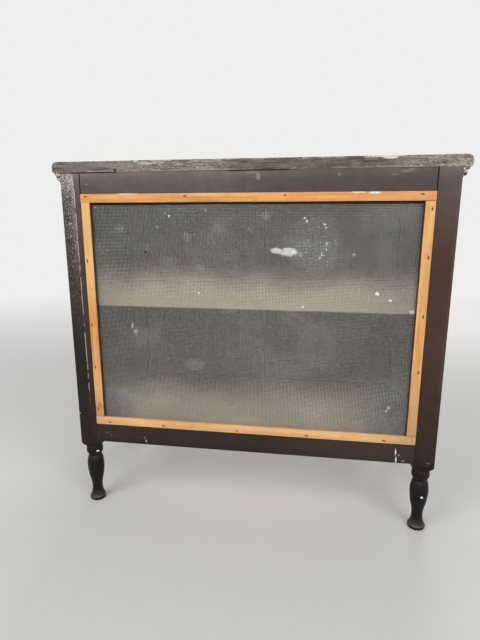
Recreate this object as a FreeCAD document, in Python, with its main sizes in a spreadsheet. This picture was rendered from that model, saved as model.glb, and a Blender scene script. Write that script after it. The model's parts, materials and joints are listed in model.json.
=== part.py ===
import FreeCAD, Part
import math
import os
import re
import Sketcher

# A low food cupboard in painted softwood: four posts that end in turned feet, tenoned rails,
# thin panels at the ends, two panelled doors on the front (+Y) and, on the rear (-Y), one sheet
# of perforated zinc held against inner cleats by nailed battens.
# Millimetres, +Z up, X along the cupboard. The origin is on the floor under the middle.
# Depths are measured along +Y from the rear face of the posts, which lies at the cell "rear".

DOC = FreeCAD.newDocument("pie_safe")
V = FreeCAD.Vector

# ---------------------------------------------------------------- driving dimensions

SIZES = {
    # carcass
    "case_w": "903",
    "case_d": "436",
    "case_h": "895",
    "post_w": "49",
    "post_arris": "1",
    "foot_h": "184.5",
    "frame_t": "20",
    "rail_top_h": "49.5",
    "rail_low_h": "50.5",
    "tenon_t": "8",
    "tenon_l": "24",
    "tenon_set": "9",
    "mortise_gap": "1",
    "panel_t": "7",
    "groove_d": "8",
    "panel_gap": "1",
    # top board and the moulding under it
    "top_t": "24",
    "top_over": "18.5",
    "top_nose": "12",
    "top_under": "2",
    "lip_h": "3.2",
    "bead_w": "4.3",
    "bead_h": "4.6",
    "quirk_w": "0.8",
    "quirk_h": "2.7",
    "round_w": "6.9",
    "round_h": "10",
    "toe_w": "1.5",
    "toe_h": "1.5",
    # turned foot: radii and heights of its turning points, from the floor up
    "pad_base_r": "16.5",
    "pad_r": "20.8",
    "pad_z": "6",
    "pad_top_r": "20",
    "pad_top_z": "10.5",
    "ankle_r": "13.5",
    "ankle_z": "37",
    "vase_r": "22.2",
    "vase_z": "105.5",
    "vase_hollow": "0.37",
    "vase_top_r": "18",
    "vase_top_z": "131.5",
    "neck_r": "16.5",
    "neck_z": "134",
    "ring_low_r": "17",
    "ring_low_z": "136.5",
    "ring_r": "21.7",
    "ring_z": "149.5",
    "ring_top_r": "18.8",
    "ring_top_z": "164.5",
    "cup_r": "18",
    "cup_z": "166",
    "shoulder_z": "179",
    # boards inside
    "floor_t": "14",
    "floor_drop": "7",
    "floor_groove": "6",
    "board_gap": "1",
    "shelf_z": "551",
    "shelf_t": "15",
    "shelf_back": "22",
    "bearer_w": "18",
    "bearer_h": "20",
    "ledge_h": "12",
    "ledge_t": "10",
    # rear screen
    "sheet_t": "1",
    "sheet_gap": "0.5",
    "screen_cols": "12",
    "screen_rows": "9",
    "screen_web": "20",
    "batten_t": "10",
    "batten_w": "21.5",
    "batten_cross_w": "20.2",
    "batten_proud": "2",
    "cleat_w": "13",
    "cleat_t": "12",
    "nail_r": "1",
    "nail_l": "20",
    "nail_head_r": "2.3",
    "nail_head_t": "0.8",
    "nail_play": "0.05",
    # doors
    "door_gap": "1.5",
    "meet_gap": "2.5",
    "stile_w": "48",
    "door_top_h": "48",
    "door_low_h": "62",
    "door_tenon_l": "30",
    "stop_w": "60",
    "stop_t": "12",
    "stop_lap": "10",
    "stop_fix": "24",
    # butt hinges
    "hinge_in": "85",
    "leaf_h": "50",
    "leaf_w": "22",
    "leaf_t": "1.2",
    "knuckle_r": "3.2",
    "knuckle_off": "0.3",
    "knuckle_gap": "0.2",
    "knuckle_clear": "0.3",
    "hinge_pin_r": "1.5",
    "pin_play": "0.05",
    "screw_r": "1.6",
    "screw_head_r": "3",
    "screw_l": "14",
    "screw_row": "17",
    "screw_play": "0.05",
    # knobs
    "knob_z": "560",
    "knob_spigot_r": "4",
    "knob_spigot_l": "15",
    "knob_foot_r": "9",
    "knob_foot_h": "2",
    "knob_neck_r": "6",
    "knob_neck_h": "6.5",
    "knob_r": "13",
    "knob_wide_h": "11.5",
    "knob_h": "17",
    # turn button on the front top rail
    "turn_z": "13",
    "turn_w": "16",
    "turn_l": "32",
    "turn_nose": "5",
    "turn_t": "8",
    "turn_gap": "0.5",
    "turn_edge": "1.5",
    "turn_screw_r": "2.2",
    "turn_screw_l": "15",
    "turn_head_r": "4.5",
    "turn_head_h": "2.4",
    "turn_play": "0.06",
}

# Where the pieces meet, worked out from the sizes above.
LAYOUT = {
    "rear": "(batten_proud - case_d - top_over) / 2",
    "half_w": "case_w / 2",
    "in_x": "half_w - post_w",
    "post_x": "half_w - post_w / 2",
    "post_top": "case_h - top_t",
    "open_low": "foot_h + rail_low_h",
    "open_top": "post_top - rail_top_h",
    "corner_r": "post_w / sqrt(2)",
    "rail_in_x": "half_w - frame_t",
    "rail_in_y": "case_d - frame_t",
    "side_mid": "half_w - frame_t / 2",
    "panel_in_x": "side_mid - panel_t / 2",
    "front_post_y": "case_d - post_w",
    "floor_top": "open_low - floor_drop",
    "sheet_y": "batten_t - batten_proud",
    "cleat_y": "sheet_y + sheet_t",
    "field_x": "in_x - batten_w",
    "field_low": "open_low + batten_cross_w",
    "field_top": "open_top - batten_cross_w",
    "mesh_x": "2 * field_x / screen_cols",
    "mesh_z": "(field_top - field_low) / screen_rows",
    "shelf_front": "front_post_y - board_gap",
    "swell": "vase_r - ankle_r",
    "rise": "vase_z - ankle_z",
    "sweep": "2 * atan(swell / rise)",
    "sweep_sum": "rise / sin(sweep)",
    "hollow_r": "sweep_sum * vase_hollow",
    "belly_r": "sweep_sum - hollow_r",
    "turn_in_r": "ankle_r + hollow_r * (1 - cos(sweep))",
    "turn_in_z": "ankle_z + hollow_r * sin(sweep)",
    "mould_w": "bead_w + quirk_w + round_w + toe_w",
    "mould_h": "lip_h + bead_h + quirk_h + round_h + toe_h",
    "hinge_x": "in_x - door_gap / 2",
    "hinge_y": "case_d + knuckle_r + knuckle_off",
    "knuckle_l": "leaf_h / 5",
    "door_x": "in_x - door_gap",
    "meet_x": "meet_gap / 2",
    "door_low": "open_low + door_gap",
    "door_top": "open_top - door_gap",
    "door_mid_y": "case_d - frame_t / 2",
    "turn_centre": "open_top + turn_z",
}

OWNER = {name: "sizes" for name in SIZES}
OWNER.update({name: "layout" for name in LAYOUT})


def link(text, home=None):
    """Name the sheet of every cell in a formula, as the document needs it; home is the sheet itself."""
    def qualify(found):
        word = found.group(0)
        owner = OWNER.get(word)
        return word if owner in (None, home) else f"{owner}.{word}"
    return re.sub(r"[a-z_]\w*", qualify, text)


sizes = DOC.addObject("Spreadsheet::Sheet", "sizes")
for row, (alias, value) in enumerate(SIZES.items(), start=1):
    sizes.set(f"A{row}", alias)
    sizes.set(f"B{row}", value)
    sizes.setAlias(f"B{row}", alias)
layout = DOC.addObject("Spreadsheet::Sheet", "layout")
for row, (alias, formula) in enumerate(LAYOUT.items(), start=1):
    layout.set(f"A{row}", alias)
    layout.setAlias(f"B{row}", alias)
for row, formula in enumerate(LAYOUT.values(), start=1):
    layout.set(f"B{row}", "=" + link(formula, home="layout"))
DOC.recompute()


def number(text):
    """The present value of a formula."""
    value = sizes.evalExpression(link(text))
    return float(getattr(value, "Value", value))


# ---------------------------------------------------------------- ways of making a piece

SUBPARTS = []


def keep(piece, label):
    """Count an object as a finished sub-part of the cupboard."""
    piece.Label = label
    SUBPARTS.append(piece)
    return piece


def place(piece, x, y, z):
    """Bind an object's place; y is a depth from the rear face."""
    piece.setExpression("Placement.Base.x", link(x))
    piece.setExpression("Placement.Base.y", link(f"rear + ({y})"))
    piece.setExpression("Placement.Base.z", link(z))


def block(name, x, y, z):
    """A square-edged solid between two formulas along each axis."""
    piece = DOC.addObject("Part::Box", name)
    for side, (low, high) in zip(("Length", "Width", "Height"), (x, y, z)):
        piece.setExpression(side, link(f"({high}) - ({low})"))
    place(piece, x[0], y[0], z[0])
    return piece


def rod(name, start, direction, radius, length):
    """A round solid that starts at a point and runs along a direction."""
    piece = DOC.addObject("Part::Cylinder", name)
    piece.Placement.Rotation = FreeCAD.Rotation(V(0, 0, 1), V(*direction))
    piece.setExpression("Radius", link(radius))
    piece.setExpression("Height", link(length))
    place(piece, *start)
    return piece


def taper(name, start, direction, radius, end_radius, length):
    """A conical solid, as the head of a countersunk screw."""
    piece = DOC.addObject("Part::Cone", name)
    piece.Placement.Rotation = FreeCAD.Rotation(V(0, 0, 1), V(*direction))
    piece.setExpression("Radius1", link(radius))
    piece.setExpression("Radius2", link(end_radius))
    piece.setExpression("Height", link(length))
    place(piece, *start)
    return piece


def fused(name, pieces):
    joint = DOC.addObject("Part::MultiFuse", name)
    joint.Shapes = pieces
    return joint


def grouped(name, pieces):
    """Like fasteners, kept as separate solids under one name."""
    group = DOC.addObject("Part::Compound", name)
    group.Links = pieces
    return group


def cut(name, base, tools):
    result = DOC.addObject("Part::Cut", name)
    result.Base = base
    result.Tool = tools[0] if len(tools) == 1 else grouped(name + "_waste", tools)
    return result


def sided(side, low, high):
    """A span along X on the left (-1) or right (+1) of the middle."""
    return (low, high) if side > 0 else (f"-({high})", f"-({low})")


def make_body(name, x="0", y="0", z="0"):
    body = DOC.addObject("PartDesign::Body", name)
    place(body, x, y, z)
    return body


def make_sketch(body, name, role):
    sketch = body.newObject("Sketcher::SketchObject", name)
    plane = [item for item in body.Origin.OriginFeatures if item.Role == role][0]
    sketch.AttachmentSupport = [(plane, "")]
    sketch.MapMode = "FlatFace"
    return sketch


def arc_between(start, end, radius, left):
    """The shorter arc from one point to another, turning left or right on its way."""
    middle = (start + end) / 2
    half = (end - start) / 2
    reach = math.sqrt(max(radius ** 2 - half.Length ** 2, 0))
    normal = V(-half.y, half.x, 0).normalize()
    centre = middle + normal * (reach if left else -reach)
    first, last = (start, end) if left else (end, start)
    angles = [math.atan2(point.y - centre.y, point.x - centre.x) for point in (first, last)]
    return Part.ArcOfCircle(Part.Circle(centre, V(0, 0, 1), radius), *angles)


def outline(sketch, corners, arcs=None):
    """Draw a closed outline. corners are pairs of formulas; arcs gives, for the side that starts at
    a corner, its radius and whether it turns left."""
    arcs = arcs or {}
    points = [V(number(x), number(y), 0) for x, y in corners]
    first = sketch.GeometryCount
    ends = []
    for index, point in enumerate(points):
        follower = points[(index + 1) % len(points)]
        if index in arcs:
            radius, left = arcs[index]
            sketch.addGeometry(arc_between(point, follower, number(radius), left), False)
            ends.append((1, 2) if left else (2, 1))
        else:
            sketch.addGeometry(Part.LineSegment(point, follower), False)
            ends.append((1, 2))
    for index, (x, y) in enumerate(corners):
        side = first + index
        before = first + (index - 1) % len(corners)
        start = ends[index][0]
        sketch.addConstraint(Sketcher.Constraint("Coincident", before, ends[index - 1][1], side, start))
        for kind, text in (("DistanceX", x), ("DistanceY", y)):
            datum = sketch.addConstraint(Sketcher.Constraint(kind, -1, 1, side, start, number(text)))
            sketch.setExpression(f"Constraints[{datum}]", link(text))
    for index, (radius, left) in arcs.items():
        datum = sketch.addConstraint(Sketcher.Constraint("Radius", first + index, number(radius)))
        sketch.setExpression(f"Constraints[{datum}]", link(radius))


def pad(body, name, sketch, length, backwards=False, centred=False):
    feature = body.newObject("PartDesign::Pad", name)
    feature.Profile = sketch
    feature.Reversed = backwards
    feature.Midplane = centred
    feature.setExpression("Length", link(length))
    return feature


def turned(body, name, sketch):
    """Revolve a half profile about the sketch's upright axis."""
    feature = body.newObject("PartDesign::Revolution", name)
    feature.Profile = sketch
    feature.ReferenceAxis = (sketch, ["V_Axis"])
    feature.Angle = 360
    return feature


def rounded(body, name, base, radius, wanted):
    """Fillet the edges of a feature that a test picks by their middle point."""
    DOC.recompute()
    edges = base.Shape.Edges
    picked = [f"Edge{place + 1}" for place, edge in enumerate(edges)
              if wanted(edge.valueAt((edge.FirstParameter + edge.LastParameter) / 2))]
    feature = body.newObject("PartDesign::Fillet", name)
    feature.Base = (base, picked)
    feature.setExpression("Radius", link(radius))
    return feature


def quarter(wide, high):
    """Radius of a quarter round between two corners that are so far apart."""
    return f"sqrt((({wide}) ^ 2 + ({high}) ^ 2) / 2)"


def upright(out, along):
    """Radius of an arc that runs along a line at its widest point and has come in by so much."""
    return f"(({out}) ^ 2 + ({along}) ^ 2) / (2 * ({out}))"


SIDES = {"left": -1, "right": 1}

# ---------------------------------------------------------------- posts
# Each post is one length of square softwood, turned below into a foot with a rounded shoulder,
# a ring, a vase that narrows to an ankle, and a pad. Square mortises take the rails' tenons
# and a groove takes the end panel.

FOOT = [
    ("0", "0"),
    ("pad_base_r", "0"),
    ("pad_r", "pad_z"),
    ("pad_top_r", "pad_top_z"),
    ("ankle_r", "ankle_z"),
    ("turn_in_r", "turn_in_z"),
    ("vase_r", "vase_z"),
    ("vase_top_r", "vase_top_z"),
    ("neck_r", "neck_z"),
    ("ring_low_r", "ring_low_z"),
    ("ring_r", "ring_z"),
    ("ring_top_r", "ring_top_z"),
    ("cup_r", "cup_z"),
    ("corner_r", "shoulder_z"),
    ("corner_r", "post_top"),
    ("0", "post_top"),
]
FOOT_ARCS = {
    1: (quarter("pad_r - pad_base_r", "pad_z"), True),
    2: (quarter("pad_r - pad_top_r", "pad_top_z - pad_z"), True),
    3: (upright("pad_top_r - ankle_r", "ankle_z - pad_top_z"), False),
    4: ("hollow_r", False),
    5: ("belly_r", True),
    6: (upright("vase_r - vase_top_r", "vase_top_z - vase_z"), True),
    9: (upright("ring_r - ring_low_r", "ring_z - ring_low_z"), True),
    10: (upright("ring_r - ring_top_r", "ring_top_z - ring_z"), True),
    12: (upright("shoulder_z - cup_z", "corner_r - cup_r"), True),
}


def tenon_z(low, high):
    return f"{low} + tenon_set", f"{high} - tenon_set"


RAIL_LEVELS = {"top": ("open_top", "post_top"), "bottom": ("foot_h", "open_low")}


def post(row, hand):
    """One post with its foot; row is rear or front."""
    side = SIDES[hand]
    name = f"post_{row}_{hand}"
    rear = row == "rear"
    centre_y = "post_w / 2" if rear else "case_d - post_w / 2"
    stock = make_body(name + "_stock", f"{side} * post_x", centre_y)
    section = make_sketch(stock, name + "_section", "XY_Plane")
    flat = "post_w / 2"
    inset = "post_w / 2 - post_arris"
    outline(section, [
        (f"-({inset})", f"-({flat})"), (inset, f"-({flat})"),
        (flat, f"-({inset})"), (flat, inset),
        (inset, flat), (f"-({inset})", flat),
        (f"-({flat})", inset), (f"-({flat})", f"-({inset})"),
    ])
    pad(stock, name + "_length", section, "post_top")
    lathe = make_body(name + "_lathe", f"{side} * post_x", centre_y)
    profile = make_sketch(lathe, name + "_profile", "XZ_Plane")
    outline(profile, FOOT, FOOT_ARCS)
    turned(lathe, name + "_turning", profile)
    shaped = DOC.addObject("Part::MultiCommon", name + "_shaped")
    shaped.Shapes = [stock, lathe]

    waste = []
    frame_y = ("0", "frame_t") if rear else ("case_d - frame_t", "case_d")
    mid_y = f"({frame_y[0]} + {frame_y[1]}) / 2"
    for level, (low, high) in RAIL_LEVELS.items():
        z = tenon_z(low, high)
        waste.append(block(
            f"{name}_mortise_{level}", sided(side, "in_x", "in_x + tenon_l + mortise_gap"),
            (f"{mid_y} - tenon_t / 2", f"{mid_y} + tenon_t / 2"), z))
        deep = (("post_w - tenon_l - mortise_gap", "post_w") if rear
                else ("front_post_y", "front_post_y + tenon_l + mortise_gap"))
        waste.append(block(
            f"{name}_end_mortise_{level}", sided(side, "side_mid - tenon_t / 2", "side_mid + tenon_t / 2"),
            deep, z))
    groove_y = ("post_w - groove_d", "post_w") if rear else ("front_post_y", "front_post_y + groove_d")
    waste.append(block(
        name + "_groove", sided(side, "side_mid - panel_t / 2", "side_mid + panel_t / 2"),
        groove_y, ("open_low - groove_d", "open_top + groove_d")))
    if not rear:
        waste.extend(leaf_seats(hand, name, "case"))
    keep(cut(name + "_cut", shaped, waste), name)


# ---------------------------------------------------------------- butt hinges
# Two steel hinges a door: a leaf let into the post, a leaf let into the door's edge, five
# knuckles on a loose pin just outside the front face, and three countersunk screws a leaf.

HINGE_LEVELS = {"top": "open_top - hinge_in", "bottom": "open_low + hinge_in"}
LEAF_SCREWS = ("-screw_row", "0", "screw_row")


def leaf_span(side, half):
    """X span of a leaf: in the post for the case's half, in the door's edge for the other."""
    if half == "case":
        return sided(side, "in_x", "in_x + leaf_t")
    return sided(side, "door_x - leaf_t", "door_x")


def screw_row(hand, half, level):
    """Start points and direction of a leaf's screws, at the face of the leaf."""
    side = SIDES[hand]
    face = "in_x" if half == "case" else "door_x"
    into = side if half == "case" else -side
    for offset in LEAF_SCREWS:
        yield (f"{side} * {face}", "case_d - leaf_w / 2", f"{HINGE_LEVELS[level]} + {offset}"), (into, 0, 0)


def leaf_seats(hand, name, half):
    """Recesses and screw holes that a post or a door's stile needs for its two leaves."""
    side = SIDES[hand]
    seats = []
    for level, height in HINGE_LEVELS.items():
        seats.append(block(
            f"{name}_seat_{level}", leaf_span(side, half), ("case_d - leaf_w", "case_d"),
            (f"{height} - leaf_h / 2", f"{height} + leaf_h / 2")))
        for count, (start, into) in enumerate(screw_row(hand, half, level)):
            seats.append(rod(f"{name}_pilot_{level}_{count}", start, into,
                             "screw_r + screw_play", "screw_l + screw_play"))
    return seats


def hinge_leaf(hand, half, level):
    """A leaf with its knuckles: three for the case's half, two between them for the door's."""
    side = SIDES[hand]
    name = f"leaf_{hand}_{half}_{level}"
    low = f"{HINGE_LEVELS[level]} - leaf_h / 2"
    axis = (f"{side} * hinge_x", "hinge_y")
    plate = block(name + "_plate", leaf_span(side, half), ("case_d - leaf_w", "hinge_y"),
                  (low, f"{low} + leaf_h"))
    solids = [plate]
    waste = [rod(name + "_bore", (*axis, low), (0, 0, 1), "hinge_pin_r + pin_play", "leaf_h")]
    own = (0, 2, 4) if half == "case" else (1, 3)
    for count in range(5):
        start = f"{low} + {count} * knuckle_l"
        if count in own:
            solids.append(rod(f"{name}_knuckle_{count}", (*axis, f"{start} + knuckle_gap / 2"), (0, 0, 1),
                              "knuckle_r", "knuckle_l - knuckle_gap"))
        else:
            waste.append(rod(f"{name}_room_{count}", (*axis, f"{start} - knuckle_gap / 2"), (0, 0, 1),
                             "knuckle_r + knuckle_clear", "knuckle_l + knuckle_gap"))
    for count, (start, into) in enumerate(screw_row(hand, half, level)):
        waste.append(taper(f"{name}_sink_{count}", start, into, "screw_head_r + screw_play",
                           "screw_r + screw_play", "leaf_t"))
    return cut(name, fused(name + "_blank", solids), waste)


def leaf_screws(hand, half):
    """The six countersunk screws of one half of a door's two hinges."""
    screws = []
    for level in HINGE_LEVELS:
        for count, (start, into) in enumerate(screw_row(hand, half, level)):
            name = f"screw_{hand}_{half}_{level}_{count}"
            head = taper(name + "_head", start, into, "screw_head_r", "screw_r", "leaf_t")
            shank = rod(name + "_shank", start, into, "screw_r", "screw_l")
            screws.append(fused(name, [head, shank]))
    return screws


for row in ("rear", "front"):
    for hand in SIDES:
        post(row, hand)

# ---------------------------------------------------------------- rails
# Eight rails, flush with the posts' outer faces, with a short tenon at each end. The bottom
# four are grooved for the floor board and the end rails for their panel.


def long_rail(row, level):
    name = f"rail_{row}_{level}"
    low, high = RAIL_LEVELS[level]
    y = ("0", "frame_t") if row == "rear" else ("rail_in_y", "case_d")
    mid_y = f"({y[0]} + {y[1]}) / 2"
    rail = block(name + "_length", ("-in_x", "in_x"), y, (low, high))
    tenons = block(name + "_tenons", ("-in_x - tenon_l", "in_x + tenon_l"),
                   (f"{mid_y} - tenon_t / 2", f"{mid_y} + tenon_t / 2"), tenon_z(low, high))
    whole = fused(name + "_whole", [rail, tenons])
    waste = []
    if level == "bottom":
        inner = ("frame_t - floor_groove", "frame_t") if row == "rear" else ("rail_in_y", "rail_in_y + floor_groove")
        waste.append(block(name + "_groove", ("-in_x", "in_x"), inner, ("floor_top - floor_t", "floor_top")))
    elif row == "front":
        start = ("0", "case_d - turn_screw_l", "turn_centre")
        waste.append(rod(name + "_pilot", start, (0, 1, 0), "turn_screw_r + screw_play", "turn_screw_l"))
    keep(cut(name, whole, waste) if waste else whole, name)


def end_rail(hand, level):
    side = SIDES[hand]
    name = f"rail_{hand}_{level}"
    low, high = RAIL_LEVELS[level]
    rail = block(name + "_length", sided(side, "rail_in_x", "half_w"), ("post_w", "front_post_y"), (low, high))
    tenons = block(name + "_tenons", sided(side, "side_mid - tenon_t / 2", "side_mid + tenon_t / 2"),
                   ("post_w - tenon_l", "front_post_y + tenon_l"), tenon_z(low, high))
    edge = ("open_top", "open_top + groove_d") if level == "top" else ("open_low - groove_d", "open_low")
    waste = [block(name + "_panel_groove", sided(side, "side_mid - panel_t / 2", "side_mid + panel_t / 2"),
                   ("post_w", "front_post_y"), edge)]
    if level == "bottom":
        waste.append(block(name + "_floor_groove", sided(side, "rail_in_x", "rail_in_x + floor_groove"),
                           ("post_w", "front_post_y"), ("floor_top - floor_t", "floor_top")))
    keep(cut(name, fused(name + "_whole", [rail, tenons]), waste), name)


for level in RAIL_LEVELS:
    for row in ("rear", "front"):
        long_rail(row, level)
    for hand in SIDES:
        end_rail(hand, level)

# ---------------------------------------------------------------- end panels, floor, shelf

for hand, side in SIDES.items():
    reach = "groove_d - panel_gap"
    keep(block(f"panel_{hand}", sided(side, "side_mid - panel_t / 2", "side_mid + panel_t / 2"),
               (f"post_w - ({reach})", f"front_post_y + {reach}"),
               (f"open_low - ({reach})", f"open_top + {reach}")), f"side_panel_{hand}")
    keep(block(f"bearer_{hand}", sided(side, "panel_in_x - bearer_w", "panel_in_x"),
               ("post_w", "front_post_y"), ("shelf_z - bearer_h", "shelf_z")), f"shelf_bearer_{hand}")

# The floor board sits in the rails' grooves and is notched round all four posts.
floor = make_body("floor_body", z="floor_top - floor_t")
plan = make_sketch(floor, "floor_plan", "XY_Plane")
wide = "rail_in_x + floor_groove - sheet_gap"
near = "frame_t - floor_groove + sheet_gap"
far = "rail_in_y + floor_groove - sheet_gap"
notch_x = "in_x - board_gap"
notch_near = "post_w + board_gap"
notch_far = "front_post_y - board_gap"
outline(plan, [
    (f"-({notch_x})", near), (notch_x, near), (notch_x, notch_near), (wide, notch_near),
    (wide, notch_far), (notch_x, notch_far), (notch_x, far), (f"-({notch_x})", far),
    (f"-({notch_x})", notch_far), (f"-({wide})", notch_far),
    (f"-({wide})", notch_near), (f"-({notch_x})", notch_near),
])
pad(floor, "floor_pad", plan, "floor_t")
keep(floor, "bottom_board")

# The shelf lies on its bearers, notched round the rear posts only, with a ledge along its front.
shelf = make_body("shelf_body", z="shelf_z")
plan = make_sketch(shelf, "shelf_plan", "XY_Plane")
wide = "panel_in_x - board_gap"
outline(plan, [
    (f"-({notch_x})", "shelf_back"), (notch_x, "shelf_back"), (notch_x, notch_near), (wide, notch_near),
    (wide, "shelf_front"), (f"-({wide})", "shelf_front"),
    (f"-({wide})", notch_near), (f"-({notch_x})", notch_near),
])
pad(shelf, "shelf_pad", plan, "shelf_t")
keep(shelf, "shelf")
keep(block("ledge", (f"-({wide})", wide), ("shelf_front - ledge_t", "shelf_front"),
           ("shelf_z + shelf_t", "shelf_z + shelf_t + ledge_h")), "shelf_ledge")

# ---------------------------------------------------------------- top board and moulding
# The board is flush with the rear face and oversails the ends and the front, where its upper
# edge is rounded. A small moulding is mitred round the same three sides under it.

top = make_body("top_body", z="post_top")
plan = make_sketch(top, "top_plan", "XY_Plane")
reach = "half_w + top_over"
outline(plan, [(f"-({reach})", "0"), (reach, "0"), (reach, "case_d + top_over"), (f"-({reach})", "case_d + top_over")])
slab = pad(top, "top_slab", plan, "top_t")
top_z = number("case_h")
under_z = number("post_top")
rear_y = number("rear")
nose = rounded(top, "top_nosing", slab, "top_nose",
               lambda at: abs(at.z - top_z + under_z) < 0.01 and at.y > 0.01)
rounded(top, "top_under_edge", nose, "top_under", lambda at: abs(at.z) < 0.01 and at.y > 0.01)
keep(top, "top_board")


def moulding_corners(side=1, base="0"):
    """Section of the moulding: a lip, a small bead, a quirk, a larger round and a toe."""
    steps = [
        ("0", "0"),
        ("mould_w", "0"),
        ("mould_w", "lip_h"),
        ("mould_w - bead_w", "lip_h + bead_h"),
        ("mould_w - bead_w - quirk_w", "lip_h + bead_h"),
        ("mould_w - bead_w - quirk_w", "lip_h + bead_h + quirk_h"),
        ("toe_w", "mould_h - toe_h"),
        ("toe_w", "mould_h"),
        ("0", "mould_h"),
    ]
    return [(f"{side} * ({base} + {out})", f"-({down})") for out, down in steps]


def moulding_arcs(left):
    return {2: (quarter("bead_w", "bead_h"), left), 5: (quarter("round_w", "round_h"), left)}


def mitre(body, name, triangles):
    """Cut a moulding's end to 45 degrees."""
    DOC.recompute()
    sketch = make_sketch(body, name + "_plan", "XY_Plane")
    for corners in triangles:
        outline(sketch, corners)
    feature = body.newObject("PartDesign::Pocket", name)
    feature.Profile = sketch
    feature.setExpression("Length", link("mould_h"))


for hand, side in SIDES.items():
    strip = make_body(f"moulding_{hand}_body", z="post_top")
    section = make_sketch(strip, f"moulding_{hand}_section", "XZ_Plane")
    outline(section, moulding_corners(side, "half_w"), moulding_arcs(side < 0))
    pad(strip, f"moulding_{hand}_length", section, "case_d + mould_w", backwards=True)
    mitre(strip, f"moulding_{hand}_mitre", [[
        (f"{side} * half_w", "case_d"), (f"{side} * (half_w + mould_w)", "case_d + mould_w"),
        (f"{side} * half_w", "case_d + mould_w")]])
    keep(strip, f"moulding_{hand}")

strip = make_body("moulding_front_body", z="post_top")
section = make_sketch(strip, "moulding_front_section", "YZ_Plane")
outline(section, moulding_corners(base="case_d"), moulding_arcs(False))
pad(strip, "moulding_front_length", section, "case_w + 2 * mould_w", centred=True)
mitre(strip, "moulding_front_mitre", [[
    (f"{side} * half_w", "case_d"), (f"{side} * (half_w + mould_w)", "case_d"),
    (f"{side} * (half_w + mould_w)", "case_d + mould_w")] for side in SIDES.values()])
keep(strip, "moulding_front")

# ---------------------------------------------------------------- rear screen
# Cleats nailed inside the opening, the zinc sheet laid against them, and battens over its
# edges. The top and bottom battens run through and the side battens butt between them.
# The sheet's many small holes are stood for by a plain grid with about the same open share.

CLEAT_Y = ("cleat_y", "cleat_y + cleat_t")
BATTEN_Y = ("-batten_proud", "sheet_y")

# Where the nails were driven, as shares of each batten's length from its left or lower end.
NAIL_SHARES = {
    "top": (0.016, 0.317, 0.601, 0.965),
    "bottom": (0.046, 0.226, 0.466, 0.682, 0.910),
    "left": (0.040, 0.251, 0.454, 0.748),
    "right": (0.296, 0.536, 0.779, 0.969),
}
EDGE_BATTENS = {
    "top": (("-in_x", "in_x"), ("field_top", "open_top")),
    "bottom": (("-in_x", "in_x"), ("open_low", "field_low")),
    "left": (("-in_x", "-field_x"), ("field_low", "field_top")),
    "right": (("field_x", "in_x"), ("field_low", "field_top")),
}
EDGE_CLEATS = {
    "top": (("-in_x", "in_x"), ("open_top - cleat_w", "open_top")),
    "bottom": (("-in_x", "in_x"), ("open_low", "open_low + cleat_w")),
    "left": (("-in_x", "cleat_w - in_x"), ("open_low + cleat_w", "open_top - cleat_w")),
    "right": (("in_x - cleat_w", "in_x"), ("open_low + cleat_w", "open_top - cleat_w")),
}
CLEAT_MID = {
    "top": "open_top - cleat_w / 2",
    "bottom": "open_low + cleat_w / 2",
    "left": "cleat_w / 2 - in_x",
    "right": "in_x - cleat_w / 2",
}


def nail_points(edge):
    """Where a batten's nails stand, in line with the cleat behind."""
    (x_low, x_high), (z_low, z_high) = EDGE_BATTENS[edge]
    for share in NAIL_SHARES[edge]:
        if edge in ("top", "bottom"):
            yield f"{x_low} + ({x_high} - ({x_low})) * {share}", CLEAT_MID[edge]
        else:
            yield CLEAT_MID[edge], f"{z_low} + ({z_high} - ({z_low})) * {share}"


nails = []
sheet_holes = []
for edge, (x, z) in EDGE_BATTENS.items():
    batten_holes = []
    cleat_holes = []
    for count, (nail_x, nail_z) in enumerate(nail_points(edge)):
        tag = f"{edge}_{count}"
        start = (nail_x, "-batten_proud", nail_z)
        shank = rod(f"nail_shank_{tag}", start, (0, 1, 0), "nail_r", "nail_l")
        head = rod(f"nail_head_{tag}", start, (0, 1, 0), "nail_head_r", "nail_head_t")
        nails.append(fused(f"nail_{tag}", [shank, head]))
        for holes, owner in ((batten_holes, "batten"), (cleat_holes, "cleat"), (sheet_holes, "sheet")):
            holes.append(rod(f"{owner}_hole_{tag}", start, (0, 1, 0), "nail_r + nail_play", "nail_l + nail_play"))
        batten_holes.append(rod(f"batten_sink_{tag}", start, (0, 1, 0), "nail_head_r + nail_play", "nail_head_t"))
    keep(cut(f"batten_{edge}_drilled", block(f"batten_{edge}_length", x, BATTEN_Y, z), batten_holes),
         f"batten_{edge}")
    cleat_x, cleat_z = EDGE_CLEATS[edge]
    keep(cut(f"cleat_{edge}_drilled", block(f"cleat_{edge}_length", cleat_x, CLEAT_Y, cleat_z), cleat_holes),
         f"cleat_{edge}")
sheet = make_body("sheet_body", y="sheet_y")
blank = make_sketch(sheet, "sheet_blank", "XZ_Plane")
low_left = ("sheet_gap - in_x", "open_low + sheet_gap")
top_right = ("in_x - sheet_gap", "open_top - sheet_gap")
outline(blank, [low_left, (top_right[0], low_left[1]), top_right, (low_left[0], top_right[1])])
pad(sheet, "sheet_rolled", blank, "sheet_t", backwards=True)
gap = make_sketch(sheet, "sheet_gap_outline", "XZ_Plane")
low_left = ("screen_web / 2 - field_x", "field_low + screen_web / 2")
top_right = ("mesh_x - screen_web / 2 - field_x", "field_low + mesh_z - screen_web / 2")
outline(gap, [low_left, (top_right[0], low_left[1]), top_right, (low_left[0], top_right[1])])
punched = sheet.newObject("PartDesign::Pocket", "sheet_punched")
punched.Profile = gap
punched.setExpression("Length", link("sheet_t"))
grid = sheet.newObject("PartDesign::MultiTransform", "sheet_grid")
grid.Originals = [punched]
steps = []
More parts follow.
